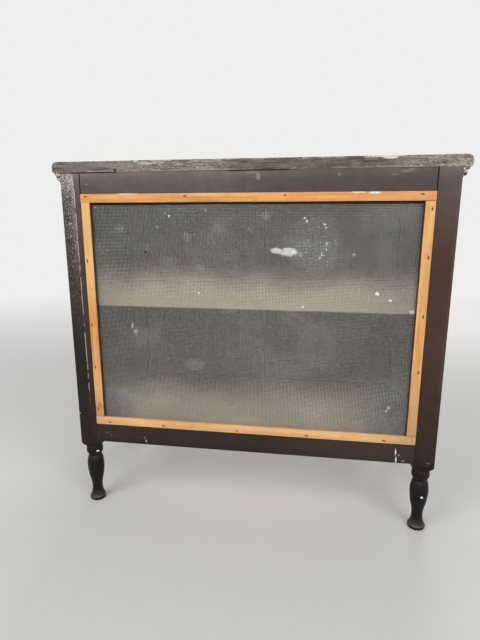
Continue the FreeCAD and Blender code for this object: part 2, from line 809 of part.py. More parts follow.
for name, axis, pitch, count in (("columns", "H_Axis", "mesh_x", "screen_cols"),
                                 ("rows", "V_Axis", "mesh_z", "screen_rows")):
    step = sheet.newObject("PartDesign::LinearPattern", f"sheet_{name}")
    step.Direction = (gap, [axis])
    step.setExpression("Length", link(f"{pitch} * ({count} - 1)"))
    step.setExpression("Occurrences", link(count))
    steps.append(step)
grid.Transformations = steps
sheet.Tip = grid
keep(cut("sheet_pierced", sheet, sheet_holes), "zinc_sheet")
keep(grouped("nails", nails), "batten_nails")

# ---------------------------------------------------------------- doors
# Two framed and panelled doors, let in flush between the front posts and rails. The stiles are
# mortised for the rails, and the loose panel sits in a groove all round.


def door(hand):
    side = SIDES[hand]
    name = f"door_{hand}"
    y = ("rail_in_y", "case_d")
    low_edge = "door_low + door_low_h"
    top_edge = "door_top - door_top_h"
    inner_y = ("door_mid_y - panel_t / 2", "door_mid_y + panel_t / 2")
    inner_from = "meet_x + stile_w"
    inner_to = "door_x - stile_w"
    rails = {"bottom": ("door_low", low_edge), "top": (top_edge, "door_top")}
    groove_z = (f"{low_edge} - groove_d", f"{top_edge} + groove_d")

    for role, (x_low, x_high) in {"meeting": ("meet_x", inner_from), "hinge": (inner_to, "door_x")}.items():
        stile = f"{name}_{role}_stile"
        blank = block(stile + "_length", sided(side, x_low, x_high), y, ("door_low", "door_top"))
        edge = (f"{x_high} - groove_d", x_high) if role == "meeting" else (x_low, f"{x_low} + groove_d")
        deep = ((f"{x_high} - door_tenon_l - mortise_gap", x_high) if role == "meeting"
                else (x_low, f"{x_low} + door_tenon_l + mortise_gap"))
        waste = [block(stile + "_groove", sided(side, *edge), inner_y, groove_z)]
        for level, (z_low, z_high) in rails.items():
            waste.append(block(f"{stile}_mortise_{level}", sided(side, *deep), inner_y, tenon_z(z_low, z_high)))
        if role == "hinge":
            waste.extend(leaf_seats(hand, stile, "door"))
        else:
            bore_y = "case_d - knob_spigot_l - mortise_gap"
            waste.append(rod(stile + "_bore", (f"{side} * (meet_x + stile_w / 2)", bore_y, "knob_z"), (0, 1, 0),
                             "knob_spigot_r + pin_play", "knob_spigot_l + mortise_gap"))
        keep(cut(stile + "_cut", blank, waste), stile)

    for level, (z_low, z_high) in rails.items():
        rail = f"{name}_{level}_rail"
        blank = block(rail + "_length", sided(side, inner_from, inner_to), y, (z_low, z_high))
        tenons = block(rail + "_tenons", sided(side, f"{inner_from} - door_tenon_l", f"{inner_to} + door_tenon_l"),
                       inner_y, tenon_z(z_low, z_high))
        edge = (f"{low_edge} - groove_d", low_edge) if level == "bottom" else (top_edge, f"{top_edge} + groove_d")
        groove = block(rail + "_groove", sided(side, inner_from, inner_to), inner_y, edge)
        keep(cut(rail + "_cut", fused(rail + "_whole", [blank, tenons]), [groove]), rail)

    reach = "groove_d - panel_gap"
    keep(block(name + "_field", sided(side, f"{inner_from} - ({reach})", f"{inner_to} + {reach}"), inner_y,
               (f"{low_edge} - ({reach})", f"{top_edge} + {reach}")), f"{name}_panel")

    for level in HINGE_LEVELS:
        keep(hinge_leaf(hand, "case", level), f"hinge_{hand}_{level}_case_leaf")
        keep(hinge_leaf(hand, "door", level), f"hinge_{hand}_{level}_door_leaf")
    keep(grouped(name + "_screw_group", leaf_screws(hand, "door")), f"{name}_hinge_screws")


# A knob is turned from one piece: a spigot glued in the stile, a foot, a hollow neck and a
# flattened ball with a low crown.
KNOB = [
    ("0", "-knob_spigot_l"),
    ("knob_spigot_r", "-knob_spigot_l"),
    ("knob_spigot_r", "0"),
    ("knob_foot_r", "0"),
    ("knob_foot_r", "knob_foot_h"),
    ("knob_neck_r", "knob_neck_h"),
    ("knob_r", "knob_wide_h"),
    ("0", "knob_h"),
]
KNOB_ARCS = {
    4: (quarter("knob_foot_r - knob_neck_r", "knob_neck_h - knob_foot_h"), False),
    5: (quarter("knob_r - knob_neck_r", "knob_wide_h - knob_neck_h"), True),
    6: (upright("knob_h - knob_wide_h", "knob_r"), True),
}

for hand, side in SIDES.items():
    door(hand)
    knob = make_body(f"knob_{hand}_body", f"{side} * (meet_x + stile_w / 2)", "case_d", "knob_z")
    profile = make_sketch(knob, f"knob_{hand}_profile", "XY_Plane")
    outline(profile, KNOB, KNOB_ARCS)
    turned(knob, f"knob_{hand}_turning", profile)
    keep(knob, f"knob_{hand}")

case_screws = [screw for hand in SIDES for screw in leaf_screws(hand, "case")]
keep(grouped("case_screw_group", case_screws), "case_hinge_screws")
pins = [rod(f"pin_{hand}_{level}", (f"{side} * hinge_x", "hinge_y", f"{height} - leaf_h / 2"), (0, 0, 1),
            "hinge_pin_r", "leaf_h") for hand, side in SIDES.items() for level, height in HINGE_LEVELS.items()]
keep(grouped("pin_group", pins), "hinge_pins")

# A block on the back of the top rail stops both doors where they meet.
keep(block("stop", ("-stop_w / 2", "stop_w / 2"), ("rail_in_y - stop_t", "rail_in_y"),
           ("door_top - stop_lap", "open_top + stop_fix")), "door_stop")

# ---------------------------------------------------------------- turn button
# A wooden button on the front top rail turns down on its screw and holds both doors shut.

button = make_body("turn_body", "0", "case_d + turn_gap", "turn_centre")
plan = make_sketch(button, "turn_plan", "XZ_Plane")
heel = "turn_nose - turn_w / 2"
toe = "turn_l - turn_nose"
curve = (upright("turn_nose", "turn_w / 2"), True)
outline(plan, [
    (heel, "-turn_w / 2"), (toe, "-turn_w / 2"), (toe, "turn_w / 2"), (heel, "turn_w / 2"),
], {1: curve, 3: curve})
bar = pad(button, "turn_bar", plan, "turn_t", backwards=True)
thick = number("turn_t")
rounded(button, "turn_edge_round", bar, "turn_edge", lambda at: abs(at.y - thick) < 0.01)
hole = rod("turn_hole", ("0", "case_d", "turn_centre"), (0, 1, 0),
           "turn_screw_r + turn_play", "turn_gap + turn_t + turn_play")
keep(cut("turn_drilled", button, [hole]), "turn_button")

shank = rod("turn_shank", ("0", "case_d - turn_screw_l", "turn_centre"), (0, 1, 0),
            "turn_screw_r", "turn_screw_l + turn_gap + turn_t + turn_play")
dome = make_body("turn_head_body", "0", "case_d + turn_gap + turn_t + turn_play", "turn_centre")
profile = make_sketch(dome, "turn_head_profile", "XY_Plane")
outline(profile, [("0", "0"), ("turn_head_r", "0"), ("0", "turn_head_h")],
        {1: (upright("turn_head_h", "turn_head_r"), True)})
turned(dome, "turn_head_turning", profile)
keep(fused("turn_screw", [shank, dome]), "turn_button_screw")

# ---------------------------------------------------------------- check and export

DOC.recompute()
faults = [item.Label for item in DOC.Objects if {"Invalid", "Error"} & set(item.State)]
faults += [item.Label for item in SUBPARTS if item.Shape.isNull() or not item.Shape.isValid()]
if faults:
    raise SystemExit(f"not built: {faults}")

os.makedirs("parts", exist_ok=True)
for item in SUBPARTS:
    item.Shape.exportStep(f"parts/{item.Label}.step")
print(len(SUBPARTS), "sub-parts")
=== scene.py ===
import json
import math
import random
import bmesh
import bpy
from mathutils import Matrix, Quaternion, Vector, noise


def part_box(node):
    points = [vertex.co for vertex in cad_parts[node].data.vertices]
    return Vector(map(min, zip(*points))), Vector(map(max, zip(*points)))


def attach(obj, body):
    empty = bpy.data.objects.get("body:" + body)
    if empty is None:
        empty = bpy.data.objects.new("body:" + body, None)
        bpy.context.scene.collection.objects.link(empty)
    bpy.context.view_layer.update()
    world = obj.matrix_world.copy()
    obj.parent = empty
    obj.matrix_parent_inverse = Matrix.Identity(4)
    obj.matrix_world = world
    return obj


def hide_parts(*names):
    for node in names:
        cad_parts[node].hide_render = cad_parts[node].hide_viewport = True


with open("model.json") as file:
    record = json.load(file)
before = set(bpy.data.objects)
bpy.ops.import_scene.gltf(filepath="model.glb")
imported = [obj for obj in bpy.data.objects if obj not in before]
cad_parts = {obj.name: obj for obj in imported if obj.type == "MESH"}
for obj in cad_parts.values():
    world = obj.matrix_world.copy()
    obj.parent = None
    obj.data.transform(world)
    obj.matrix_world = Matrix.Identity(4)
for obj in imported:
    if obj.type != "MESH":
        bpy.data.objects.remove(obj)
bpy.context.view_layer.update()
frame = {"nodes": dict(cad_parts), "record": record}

# ------------------------------------------------------------------ posts
# Four posts, each one square length of softwood whose lower end is turned into a foot on the
# lathe. They carry one thin coat of old dark oil paint: nearly black and fresh by the floor,
# faded higher up, and crazed to pale flecks on the outside of the left end.

MM = 0.001


class Wire:
    """What a node gives. Arithmetic with it puts in the nodes that work it out."""

    def __init__(self, socket):
        self.socket = socket
        self.tree = socket.id_data

    def into(self, socket):
        self.tree.links.new(self.socket, socket)

    def __add__(self, other):
        return calc("ADD", self, other)

    def __sub__(self, other):
        return calc("SUBTRACT", self, other)

    def __rsub__(self, other):
        return calc("SUBTRACT", other, self)

    def __mul__(self, other):
        return calc("MULTIPLY", self, other)

    def __truediv__(self, other):
        return calc("DIVIDE", self, other)

    def __lt__(self, other):
        return calc("LESS_THAN", self, other)

    def __gt__(self, other):
        return calc("GREATER_THAN", self, other)

    def __abs__(self):
        return calc("ABSOLUTE", self)


def new_node(kind, sockets=None, tree=None, **settings):
    """Put a node in the tree of its wires, or in the one named; sockets gives wires or values."""
    sockets = sockets or {}
    tree = tree or next(value.tree for value in sockets.values() if isinstance(value, Wire))
    made = tree.nodes.new(kind)
    for setting, value in settings.items():
        setattr(made, setting, value)
    for socket, value in sockets.items():
        if isinstance(value, Wire):
            value.into(made.inputs[socket])
        else:
            made.inputs[socket].default_value = value
    return made


def add(kind, sockets=None, tree=None, output=0, **settings):
    """Put a node in and give one of its outputs."""
    return Wire(new_node(kind, sockets, tree, **settings).outputs[output])


def wires(made):
    """All that a node gives, by name."""
    return {socket.name: Wire(socket) for socket in made.outputs}


def calc(operation, *values):
    """Work out one number from others."""
    return add("ShaderNodeMath", dict(enumerate(values)), operation=operation)


def larger(first, *others):
    for other in others:
        first = calc("MAXIMUM", first, other)
    return first


def smaller(first, *others):
    for other in others:
        first = calc("MINIMUM", first, other)
    return first


def vector_calc(operation, *values):
    return add("ShaderNodeVectorMath", dict(enumerate(values)), operation=operation)


def length(vector):
    return add("ShaderNodeVectorMath", {0: vector}, output="Value", operation="LENGTH")


def parts(vector):
    """The x, y and z of a vector."""
    return wires(new_node("ShaderNodeSeparateXYZ", {0: vector})).values()


def whole(x=0, y=0, z=0):
    """The vector that has this x, y and z."""
    return add("ShaderNodeCombineXYZ", {0: x, 1: y, 2: z})


def spread(place, centre, size):
    """How far a place is from a centre, in half sizes."""
    return length(vector_calc("DIVIDE", vector_calc("SUBTRACT", place, centre), size))


def ease(value, start, end):
    """From 0 at start to 1 at end; start may be the larger."""
    return add("ShaderNodeMapRange", {"Value": value, "From Min": start, "From Max": end},
               interpolation_type="SMOOTHSTEP")


def near(value, middle, start, end):
    """From 0 to 1 as the distance from the middle goes from start to end."""
    return ease(abs(value - middle), start, end)


def tone(red, green, blue):
    """A colour as the eye reads it, 0 to 255, for a shader's socket."""
    return tuple((part / 255 + 0.055) ** 2.4 / 1.055 ** 2.4 for part in (red, green, blue)) + (1.0,)


def coat(under, over, amount, how="MIX"):
    """Lay one colour over another."""
    return add("ShaderNodeMix", {0: amount, 6: under, 7: over}, output=2, data_type="RGBA", blend_type=how)


def shaded(colour, shade):
    """Make a colour lighter or darker by a factor."""
    return coat(colour, add("ShaderNodeCombineColor", {0: shade, 1: shade, 2: shade}), 1.0, "MULTIPLY")


def grades(value, *stops):
    """A run of colours; stops are (place, red, green, blue)."""
    made = new_node("ShaderNodeValToRGB", {0: value})
    elements = made.color_ramp.elements
    while len(elements) < len(stops):
        elements.new(1)
    for element, (place, *colour) in zip(elements, stops):
        element.position = place
        element.color = tone(*colour)
    return Wire(made.outputs[0])


def grit(vector, grains, detail=2.0, rough=0.5):
    """Uneven noise with so many grains to a metre, the same all ways or along each axis."""
    stretch = grains if isinstance(grains, tuple) else (grains, grains, grains)
    return add("ShaderNodeTexNoise", {"Vector": vector_calc("MULTIPLY", vector, stretch), "Scale": 1.0,
                                      "Detail": detail, "Roughness": rough})


def relief(height, depth):
    """Turn a height of 0 to 1 into a normal, depth metres deep."""
    return add("ShaderNodeBump", {"Height": height, "Distance": depth, "Strength": 1.0})


def group_of(kind, name, inputs, outputs):
    """Start a group of nodes with named sockets: the group, what it is given and what it gives."""
    group = bpy.data.node_groups.new(name, kind)
    for way, sockets in (("INPUT", inputs), ("OUTPUT", outputs)):
        for label, socket in sockets.items():
            group.interface.new_socket(label, in_out=way, socket_type="NodeSocket" + socket)
    given = wires(new_node("NodeGroupInput", tree=group))
    return group, given, new_node("NodeGroupOutput", tree=group).inputs


def placed(group, **sockets):
    """Put a shader group in a material and give its outputs."""
    return wires(new_node("ShaderNodeGroup", sockets, node_tree=group))


# How the timber itself varies: broad mottle, streaks along the grain and fine fibre.
timber_grain, given, gives = group_of(
    "ShaderNodeTree", "timber_grain", {"Board": "Vector", "Seed": "Float"},
    {"Mottle": "Float", "Streak": "Float", "Fibre": "Float"})
board = vector_calc("ADD", given["Board"], whole(*(given["Seed"] * step for step in (3.1, 1.7, 2.3))))
for label, grains, detail in (("Mottle", (9, 16, 16), 4.0), ("Streak", (5, 120, 120), 3.0),
                              ("Fibre", (40, 1000, 1000), 2.0)):
    grit(board, grains, detail, 0.6).into(gives[label])

# Where a board's arrises have been knocked and rubbed.
arris_wear, given, gives = group_of(
    "ShaderNodeTree", "arris_wear",
    {"Board": "Vector", "Reach": "Vector", "Width": "Float", "Ragged": "Float"}, {"Mask": "Float"})
from_middle = vector_calc("ABSOLUTE", given["Board"])
along, across, through = parts(vector_calc("SUBTRACT", given["Reach"], from_middle))
nearest = smaller(larger(across, through), larger(along, smaller(across, through)))
limit = larger(given["Width"] * ((given["Ragged"] - 0.42) * 5.0), 0.01 * MM)
ease(nearest, limit, limit * 0.4).into(gives["Mask"])

# One local mark, such as a chip, a knock or a splash.
mark, given, gives = group_of(
    "ShaderNodeTree", "mark",
    {"Place": "Vector", "Centre": "Vector", "Size": "Vector", "Ragged": "Float"}, {"Mask": "Float"})
uneven = (given["Ragged"] - 0.5) * 2.2 + spread(given["Place"], given["Centre"], given["Size"])
ease(uneven, 1.1, 0.8).into(gives["Mask"])

# Softwood that was never painted, gone grey brown with age, and paler where flour has lain.
bare_wood, given, gives = group_of(
    "ShaderNodeTree", "bare_wood", {"Board": "Vector", "Seed": "Float", "Place": "Vector"},
    {"Color": "Color", "Height": "Float"})
grain = placed(timber_grain, Board=given["Board"], Seed=given["Seed"])
colour = grades(grain["Streak"], (0.3, 160, 147, 128), (0.5, 188, 175, 155), (0.7, 206, 196, 178))
colour = shaded(colour, grain["Mottle"] * 0.5 + 0.75)
dust = ease(grit(given["Place"], 7, 4.0, 0.6), 0.42, 0.62)
coat(colour, tone(196, 190, 176), dust * 0.3).into(gives["Color"])
(grain["Fibre"] * 0.4 + grain["Streak"]).into(gives["Height"])

REAR_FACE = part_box("post_rear_left")[0].y
OPENING_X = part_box("post_rear_right")[0].x
CASE_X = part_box("post_rear_right")[1].x
INNER_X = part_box("side_panel_right")[0].x
INNER_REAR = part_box("rail_rear_top")[1].y
INNER_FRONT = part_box("door_left_panel")[0].y
INNER_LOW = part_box("bottom_board")[0].z
INNER_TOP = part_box("top_board")[0].z
HAIR = 0.2 * MM

# The inside of the case and the backs of the doors, where the brush never went.
unpainted, given, gives = group_of("ShaderNodeTree", "unpainted", {"Place": "Vector"}, {"Mask": "Float"})
x, y, z = parts(given["Place"])
within = (abs(x) < INNER_X + HAIR) * (y > INNER_REAR - HAIR) * (y < INNER_FRONT + HAIR)
(within * (z > INNER_LOW) * (z < INNER_TOP + HAIR)).into(gives["Mask"])


def surface(name, **plain):
    """A material and the sockets of its shader; plain gives what is the same all over."""
    material = bpy.data.materials.new(name)
    material.use_nodes = True
    sockets = material.node_tree.nodes["Principled BSDF"].inputs
    for label, value in plain.items():
        sockets[label.replace("_", " ")].default_value = value
    return material, material.node_tree, sockets


def object_place(tree):
    return add("ShaderNodeTexCoord", tree=tree, output="Object")


def carried(tree, *names):
    """Measures that a piece's mesh carries from its making."""
    return [add("ShaderNodeAttribute", tree=tree, output="Fac" if name == "seed" else "Vector",
                attribute_name=name) for name in names]


def put_marks(colour, place, ragged, marks, behind=0, half_depth=3):
    """Lay local marks over a colour, in millimetres. Each has its x and z, its half sizes and its own
    colour, and may end with how far it lies behind the rear face and its half depth."""
    for x, z, half_x, half_z, red, green, blue, *depth in marks:
        behind_it, deep = depth or (behind, half_depth)
        mask = placed(mark, Place=place, Ragged=ragged, Centre=(x * MM, REAR_FACE + behind_it * MM, z * MM),
                      Size=(half_x * MM, deep * MM, half_z * MM))["Mask"]
        colour = coat(colour, tone(red, green, blue), mask)
    return colour


old_paint, tree, skin = surface("old_dark_paint", Specular_IOR_Level=0.18, Coat_Roughness=0.32)
place = object_place(tree)
x, y, z = parts(place)
board, reach, seed = carried(tree, "board", "reach", "seed")
grain = placed(timber_grain, Board=board, Seed=seed)
fine = grit(place, 420)
cloudy = grit(place, 14, 4.0, 0.6)

# Nearly black by the floor and paler with height; each place is a share of the ramp's height.
RAMP_HEIGHT = 0.9
colour = grades(z / RAMP_HEIGHT, (0.000, 13, 7, 6), (0.190, 19, 12, 11), (0.222, 49, 36, 31),
                (0.333, 54, 38, 30), (0.444, 60, 43, 35), (0.667, 67, 50, 42), (0.778, 72, 55, 47),
                (0.889, 83, 68, 62), (0.944, 90, 78, 74), (0.966, 104, 93, 87))
shade = (grain["Mottle"] * 0.55 + 0.72) * (grain["Streak"] * 0.24 + 0.88)
shade *= grit(place, 34, 5.0, 0.65) * 0.7 + 0.66
right_post = ease(x, OPENING_X - 0.5 * MM, OPENING_X + 0.5 * MM)
less_faded = ease(x, -0.12, 0.14) * ease(z, 0.40, 0.62) * (1.0 - right_post * 0.65)
more_faded = right_post * ease(z, 0.25, 0.40) * ease(z, 0.66, 0.50)
shade *= 1.0 - less_faded * 0.26
shade *= more_faded * 0.16 + 1.0
colour = shaded(colour, shade)

# Faded and rubbed just under the top.
under_top = ease(z, 0.838, 0.872) * ease(cloudy, 0.35, 0.65) * (0.32 - less_faded * 0.20)
under_top *= 1.0 - near(x, 0.225, 0.11, 0.06) * 0.9
colour = coat(colour, tone(132, 120, 116), under_top)

# Browner on the right half of the bottom rail.
browner = ease(z, 0.250, 0.240) * ease(z, 0.172, 0.180) * ease(x, 0.02, 0.26) * (1.0 - right_post)
colour = coat(colour, tone(112, 92, 78), browner * 0.10)

# Rubbed to a dull olive brown along the outer edge of the right end.
right_edge = ease(x, CASE_X - 8 * MM, CASE_X - 3 * MM) * ease(z, 0.30, 0.42) * ease(z, 0.86, 0.76)
colour = coat(colour, tone(96, 78, 58), right_edge * ease(cloudy, 0.30, 0.55) * 0.5)

# The crazed outside of the left end, from the old paint ridge outwards.
RIDGE_X = -418 * MM
outer_left = ease(x, RIDGE_X + 1.0 * MM, RIDGE_X - 1.0 * MM) * ease(z, 0.165, 0.20)
colour = coat(colour, tone(38, 32, 28), outer_left * ease(z, 0.95, 0.35))
colour = coat(colour, tone(60, 57, 52), outer_left * ease(z, 0.42, 0.60) * ease(z, 0.88, 0.80) * 0.45)
pale_band = outer_left * ease(x, RIDGE_X - 12 * MM, RIDGE_X - 7 * MM) * ease(z, 0.60, 0.74)
colour = coat(colour, tone(138, 130, 124), pale_band * 0.30)
height = ease(z, 0.28, 0.90)
threshold = 0.60 - height * 0.12 - ease(z, 0.81, 0.86) * 0.05
threshold += ease(x, RIDGE_X - 12 * MM, RIDGE_X - 26 * MM) * 0.025
threshold += ease(z, 0.82, 0.76) * 0.012
flecks = grit(place, (660, 660, 240), 3.0, 0.7)
clumps = ease(grit(place, (60, 60, 24), 3.0, 0.6), 0.30, 0.55)
fleck_mask = ease(flecks, threshold, threshold + 0.14) * (clumps * 0.6 + 0.4)
fleck_tone = grades(height, (0.0, 84, 75, 68), (0.55, 154, 145, 138), (1.0, 200, 192, 188))
colour = coat(colour, fleck_tone, outer_left * fleck_mask)

# The ridge where two strips of the coat met.
wander = (grit(place, (0, 0, 9)) - 0.5) * (4 * MM) + RIDGE_X
ridge = near(x, wander, 1.5 * MM, 0.5 * MM) * ease(y, REAR_FACE + 3 * MM, REAR_FACE + 1 * MM)
ridge *= ease(z, 0.27, 0.36) * ease(z, 0.85, 0.83) * ease(grit(place, 60, 3.0), 0.36, 0.56)
colour = coat(colour, tone(190, 184, 178), ridge * 0.85)

# Floor dust on the feet where they face up, and with it painted light where their tops catch it.
_, _, facing_up = parts(add("ShaderNodeNewGeometry", tree=tree, output="Normal"))
dust_and_top_light = ease(facing_up, 0.0, 0.8) * ease(z, 0.170, 0.160) * ease(fine, 0.30, 0.55)
dust_and_top_light *= ease(z, 0.05, 0.02) * 0.55 + 0.20
colour = coat(colour, tone(104, 92, 84), dust_and_top_light)

# Knocked arrises, then painted shade in the joints of the rear frame and under the top board, standing in for
# the shadow in their narrow gaps.
worn = placed(arris_wear, Board=board, Reach=reach, Width=2.2 * MM, Ragged=grain["Mottle"])["Mask"]
colour = coat(colour, tone(122, 106, 96), worn * ease(fine, 0.40, 0.60) * 0.5)
joint_shade = near(abs(x), OPENING_X, 2.3 * MM, 1.0 * MM) * ease(z, 0.819, 0.823)
joint_shade *= ease(y, REAR_FACE + 4 * MM, REAR_FACE + 2 * MM)
gaping = larger(ease(x, -0.300, -0.318), ease(x, -0.06, -0.04) * ease(x, 0.11, 0.08))
under_board = ease(gaping * (1.4 * MM) + z, 0.8686, 0.8700) * (gaping * 0.65 + 0.35)
gap_shade = larger(joint_shade, under_board * ease(x, CASE_X - 20 * MM, OPENING_X))
colour = coat(colour, tone(14, 10, 9), gap_shade * 0.92)

# Rubbed thin by hands round the knobs and along the edges where the doors meet; the pale on those edges also
# paints the light seen through the gap between the doors.
door_low, door_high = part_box("door_right_meeting_stile")
rubbed_and_gap_light = (abs(x) < door_low.x + 0.35 * MM) * (y > INNER_FRONT)
rubbed_and_gap_light *= (z > door_low.z - 0.5 * MM) * (z < door_high.z + 0.5 * MM)
colour = coat(colour, tone(168, 150, 128), rubbed_and_gap_light * 0.6)
knob_low, knob_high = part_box("knob_right")
handled = placed(mark, Place=whole(abs(x), y, z), Centre=(knob_low + knob_high) / 2,
                 Size=(26 * MM, 60 * MM, 75 * MM), Ragged=cloudy)["Mask"]
colour = coat(colour, tone(130, 110, 97), handled * ease(grain["Mottle"], 0.34, 0.60) * 0.30)

colour = put_marks(colour, place, fine, [
    # a white streak and its drips on the rear bottom rail
    (359.5, 213, 1.7, 9, 214, 208, 204), (361.5, 193, 1.7, 9, 214, 208, 204),
    (367, 206, 2.2, 3, 140, 124, 116), (378, 191, 4, 1.6, 140, 124, 116),
    # scuffs on the same rail and at the foot of the right post
    (-269, 194, 2, 4.5, 150, 140, 142), (-273, 203, 3, 3, 95, 80, 80), (-376, 211, 5, 1.8, 100, 82, 80),
    (-366, 205, 2.5, 2, 104, 80, 74), (436, 189, 4, 2.2, 110, 96, 104),
    # knocks on the rear top rail
    (-386, 843.5, 3.2, 1.4, 138, 116, 108), (198, 858, 2, 3.5, 128, 116, 112),
    (21, 857, 5, 8, 130, 120, 112), (8, 865, 15, 3, 120, 110, 102), (338, 863, 13, 3, 118, 106, 101),
    (349, 866.5, 7, 2, 122, 111, 104), (314, 856, 10, 1.6, 112, 100, 97),
    # splashes and chips on the turned feet
    (-411.5, 149.5, 3.6, 2.6, 240, 238, 236, 10, 9), (429.5, 95, 3.0, 3.0, 240, 238, 236, 3, 5),
    (-448, 95, 3, 5, 150, 132, 124, 17, 9), (-442, 86, 3, 4, 150, 120, 116, 9, 6),
    (-450.5, 261.5, 5, 1.5, 170, 160, 150, 0, 5),
])
bare = placed(unpainted, Place=place)["Mask"]
wood = placed(bare_wood, Board=board, Seed=seed, Place=place)
coat(colour, wood["Color"], bare).into(skin["Base Color"])
larger(grain["Mottle"] * 0.25 + 0.36, outer_left * 0.8, bare * 0.8).into(skin["Roughness"])
(ease(z, 0.180, 0.165) * 0.07).into(skin["Coat Weight"])
bumps = grain["Streak"] * 0.45 + grain["Mottle"] * 0.5 + grain["Fibre"] * 0.15
bumps += outer_left * flecks * 1.2
relief(bumps + ridge, 0.5 * MM).into(skin["Normal"])

BODY_OF = {node: body for body, nodes in frame["record"]["behaviour"]["bodies"].items() for node in nodes}
SLOT_OF = {row["node"]: row["material_slot"] for row in frame["record"]["subparts"]}
draw = random.Random(11)


def seat(piece, material, *nodes):
    """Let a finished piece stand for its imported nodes: their body and their place."""
    if piece.name not in bpy.context.scene.collection.objects:
        bpy.context.scene.collection.objects.link(piece)
    piece.data.materials.clear()
    piece.data.materials.append(material)
    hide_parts(*nodes)
    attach(piece, BODY_OF[nodes[0]])


SHARP_FROM = 35


def made_of(form, name, low, high, sharp_from=SHARP_FROM):
    """Turn a form into a piece that carries, for each point, where it lies in its board, along the
    grain first. Faces that meet at so many degrees or more keep a sharp edge."""
    mesh = bpy.data.meshes.new(name)
    form.to_mesh(mesh)
    form.free()
    middle, half = (low + high) / 2, (high - low) / 2
    order = sorted(range(3), key=lambda axis: -round(half[axis], 5))
    count = len(mesh.vertices)
    for label, kind, field, values in (
            ("board", "FLOAT_VECTOR", "vector", [v.co[a] - middle[a] for v in mesh.vertices for a in order]),
            ("reach", "FLOAT_VECTOR", "vector", [half[a] for a in order] * count),
            ("seed", "FLOAT", "value", [draw.uniform(0, 40)] * count)):
        mesh.attributes.new(label, kind, "POINT").data.foreach_set(field, values)
    mesh.shade_smooth()
    mesh.set_sharp_from_angle(angle=math.radians(sharp_from))
    return bpy.data.objects.new(name, mesh)


EASED_SHARP_FROM = 20
ARRIS_TURN = 1.0
NEARLY_FLAT = math.radians(0.2)
SAME_POINT = 0.001 * MM
TOUCHING = 0.01 * MM


def timber(node, material, soften=0.0, ends=False):
    """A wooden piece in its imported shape, with its long outer arrises eased as by a plane."""
    low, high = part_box(node)
    form = bmesh.new()
    form.from_mesh(frame["nodes"][node].data)
    bmesh.ops.remove_doubles(form, verts=form.verts, dist=SAME_POINT)
    bmesh.ops.dissolve_limit(form, angle_limit=NEARLY_FLAT, verts=form.verts, edges=form.edges)
    if soften:
        length_axis = max(range(3), key=lambda axis: high[axis] - low[axis])
        picked = []
        for edge in form.edges:
            if len(edge.link_faces) != 2 or edge.calc_face_angle() < ARRIS_TURN:
                continue
            outer = [all(min(abs(point.co[axis] - low[axis]), abs(point.co[axis] - high[axis])) < TOUCHING
                         for point in edge.verts) for axis in range(3)]
            if edge.is_convex and sum(outer) >= 2 and (ends or not outer[length_axis]):
                picked.append(edge)
        bmesh.ops.bevel(form, geom=picked, offset=soften, offset_type="OFFSET", segments=2, profile=0.5,
                        affect="EDGES", clamp_overlap=True)
    piece = made_of(form, node + "_timber", low, high, EASED_SHARP_FROM if soften else SHARP_FROM)
    seat(piece, material, node)


HANDS = ("left", "right")
for row in ("rear", "front"):
    for hand in HANDS:
        timber(f"post_{row}_{hand}", old_paint)

# ------------------------------------------------------------------ rails
# Eight planed softwood rails tenoned into the posts, flush outside, under the same paint as
# the posts. The shoulders have shrunk a little, and painted shade marks the gaps at the joints of the top
# rail.

PLANED = 0.8 * MM
for level in ("top", "bottom"):
    for side in ("rear", "front", "left", "right"):
        timber(f"rail_{side}_{level}", old_paint, PLANED)

# ------------------------------------------------------------------ end panels
# One thin softwood board at each end, loose in the grooves of the posts and rails so that it
# can shrink and swell, painted outside and bare inside.

for hand in HANDS:
    timber(f"side_panel_{hand}", old_paint)

# ------------------------------------------------------------------ shelf and floor board
# Bare softwood boards, paler in the middle and darker at the ends as painted light and shade: the floor in
# the grooves of the rails, the shelf on two bearers, with a low ledge nailed along its front, and the cleats
# and door stop.

old_wood, tree, skin = surface("old_bare_wood", Specular_IOR_Level=0.2, Roughness=0.8)
place = object_place(tree)
x, _, _ = parts(place)
board, seed = carried(tree, "board", "seed")
wood = placed(bare_wood, Board=board, Seed=seed, Place=place)
# Painted light and shade: paler in the middle where a pool of light falls through the sheet, and darker at
# the ends where shade falls.
pale = coat(tone(222, 206, 182), tone(244, 234, 216), grit(board, (5, 60, 60), 3.0))
colour = coat(wood["Color"], pale, ease(x, -0.352, -0.330) * ease(x, 0.40, 0.24) * 0.9)
colour = coat(colour, tone(70, 62, 54), ease(abs(x), 0.345, 0.385) * 0.6)
colour.into(skin["Base Color"])
relief(wood["Height"], 0.4 * MM).into(skin["Normal"])

EDGES = ("top", "bottom", "left", "right")
for node in ("bottom_board", "shelf", "shelf_ledge", "shelf_bearer_left", "shelf_bearer_right", "door_stop",
             *(f"cleat_{edge}" for edge in EDGES)):
    timber(node, old_wood, PLANED)

# ------------------------------------------------------------------ top board and moulding
# One wide softwood board, nosed at the ends and the front and left square and flush at the
# rear, over a small moulding mitred round three sides. Its edges have lost most of their paint.

top_paint, tree, skin = surface("worn_top_paint", Specular_IOR_Level=0.3)
place = object_place(tree)
x, _, z = parts(place)
board, reach, seed = carried(tree, "board", "reach", "seed")
grain = placed(timber_grain, Board=board, Seed=seed)
blotch = grit(place, (38, 60, 90), 4.0, 0.7)
cloudy = grit(place, 11, 4.0, 0.6)
colour = coat(tone(84, 71, 63), tone(114, 101, 92), ease(blotch, 0.35, 0.65))
colour = coat(colour, tone(146, 136, 130), ease(x, -0.26, -0.34) * 0.25)

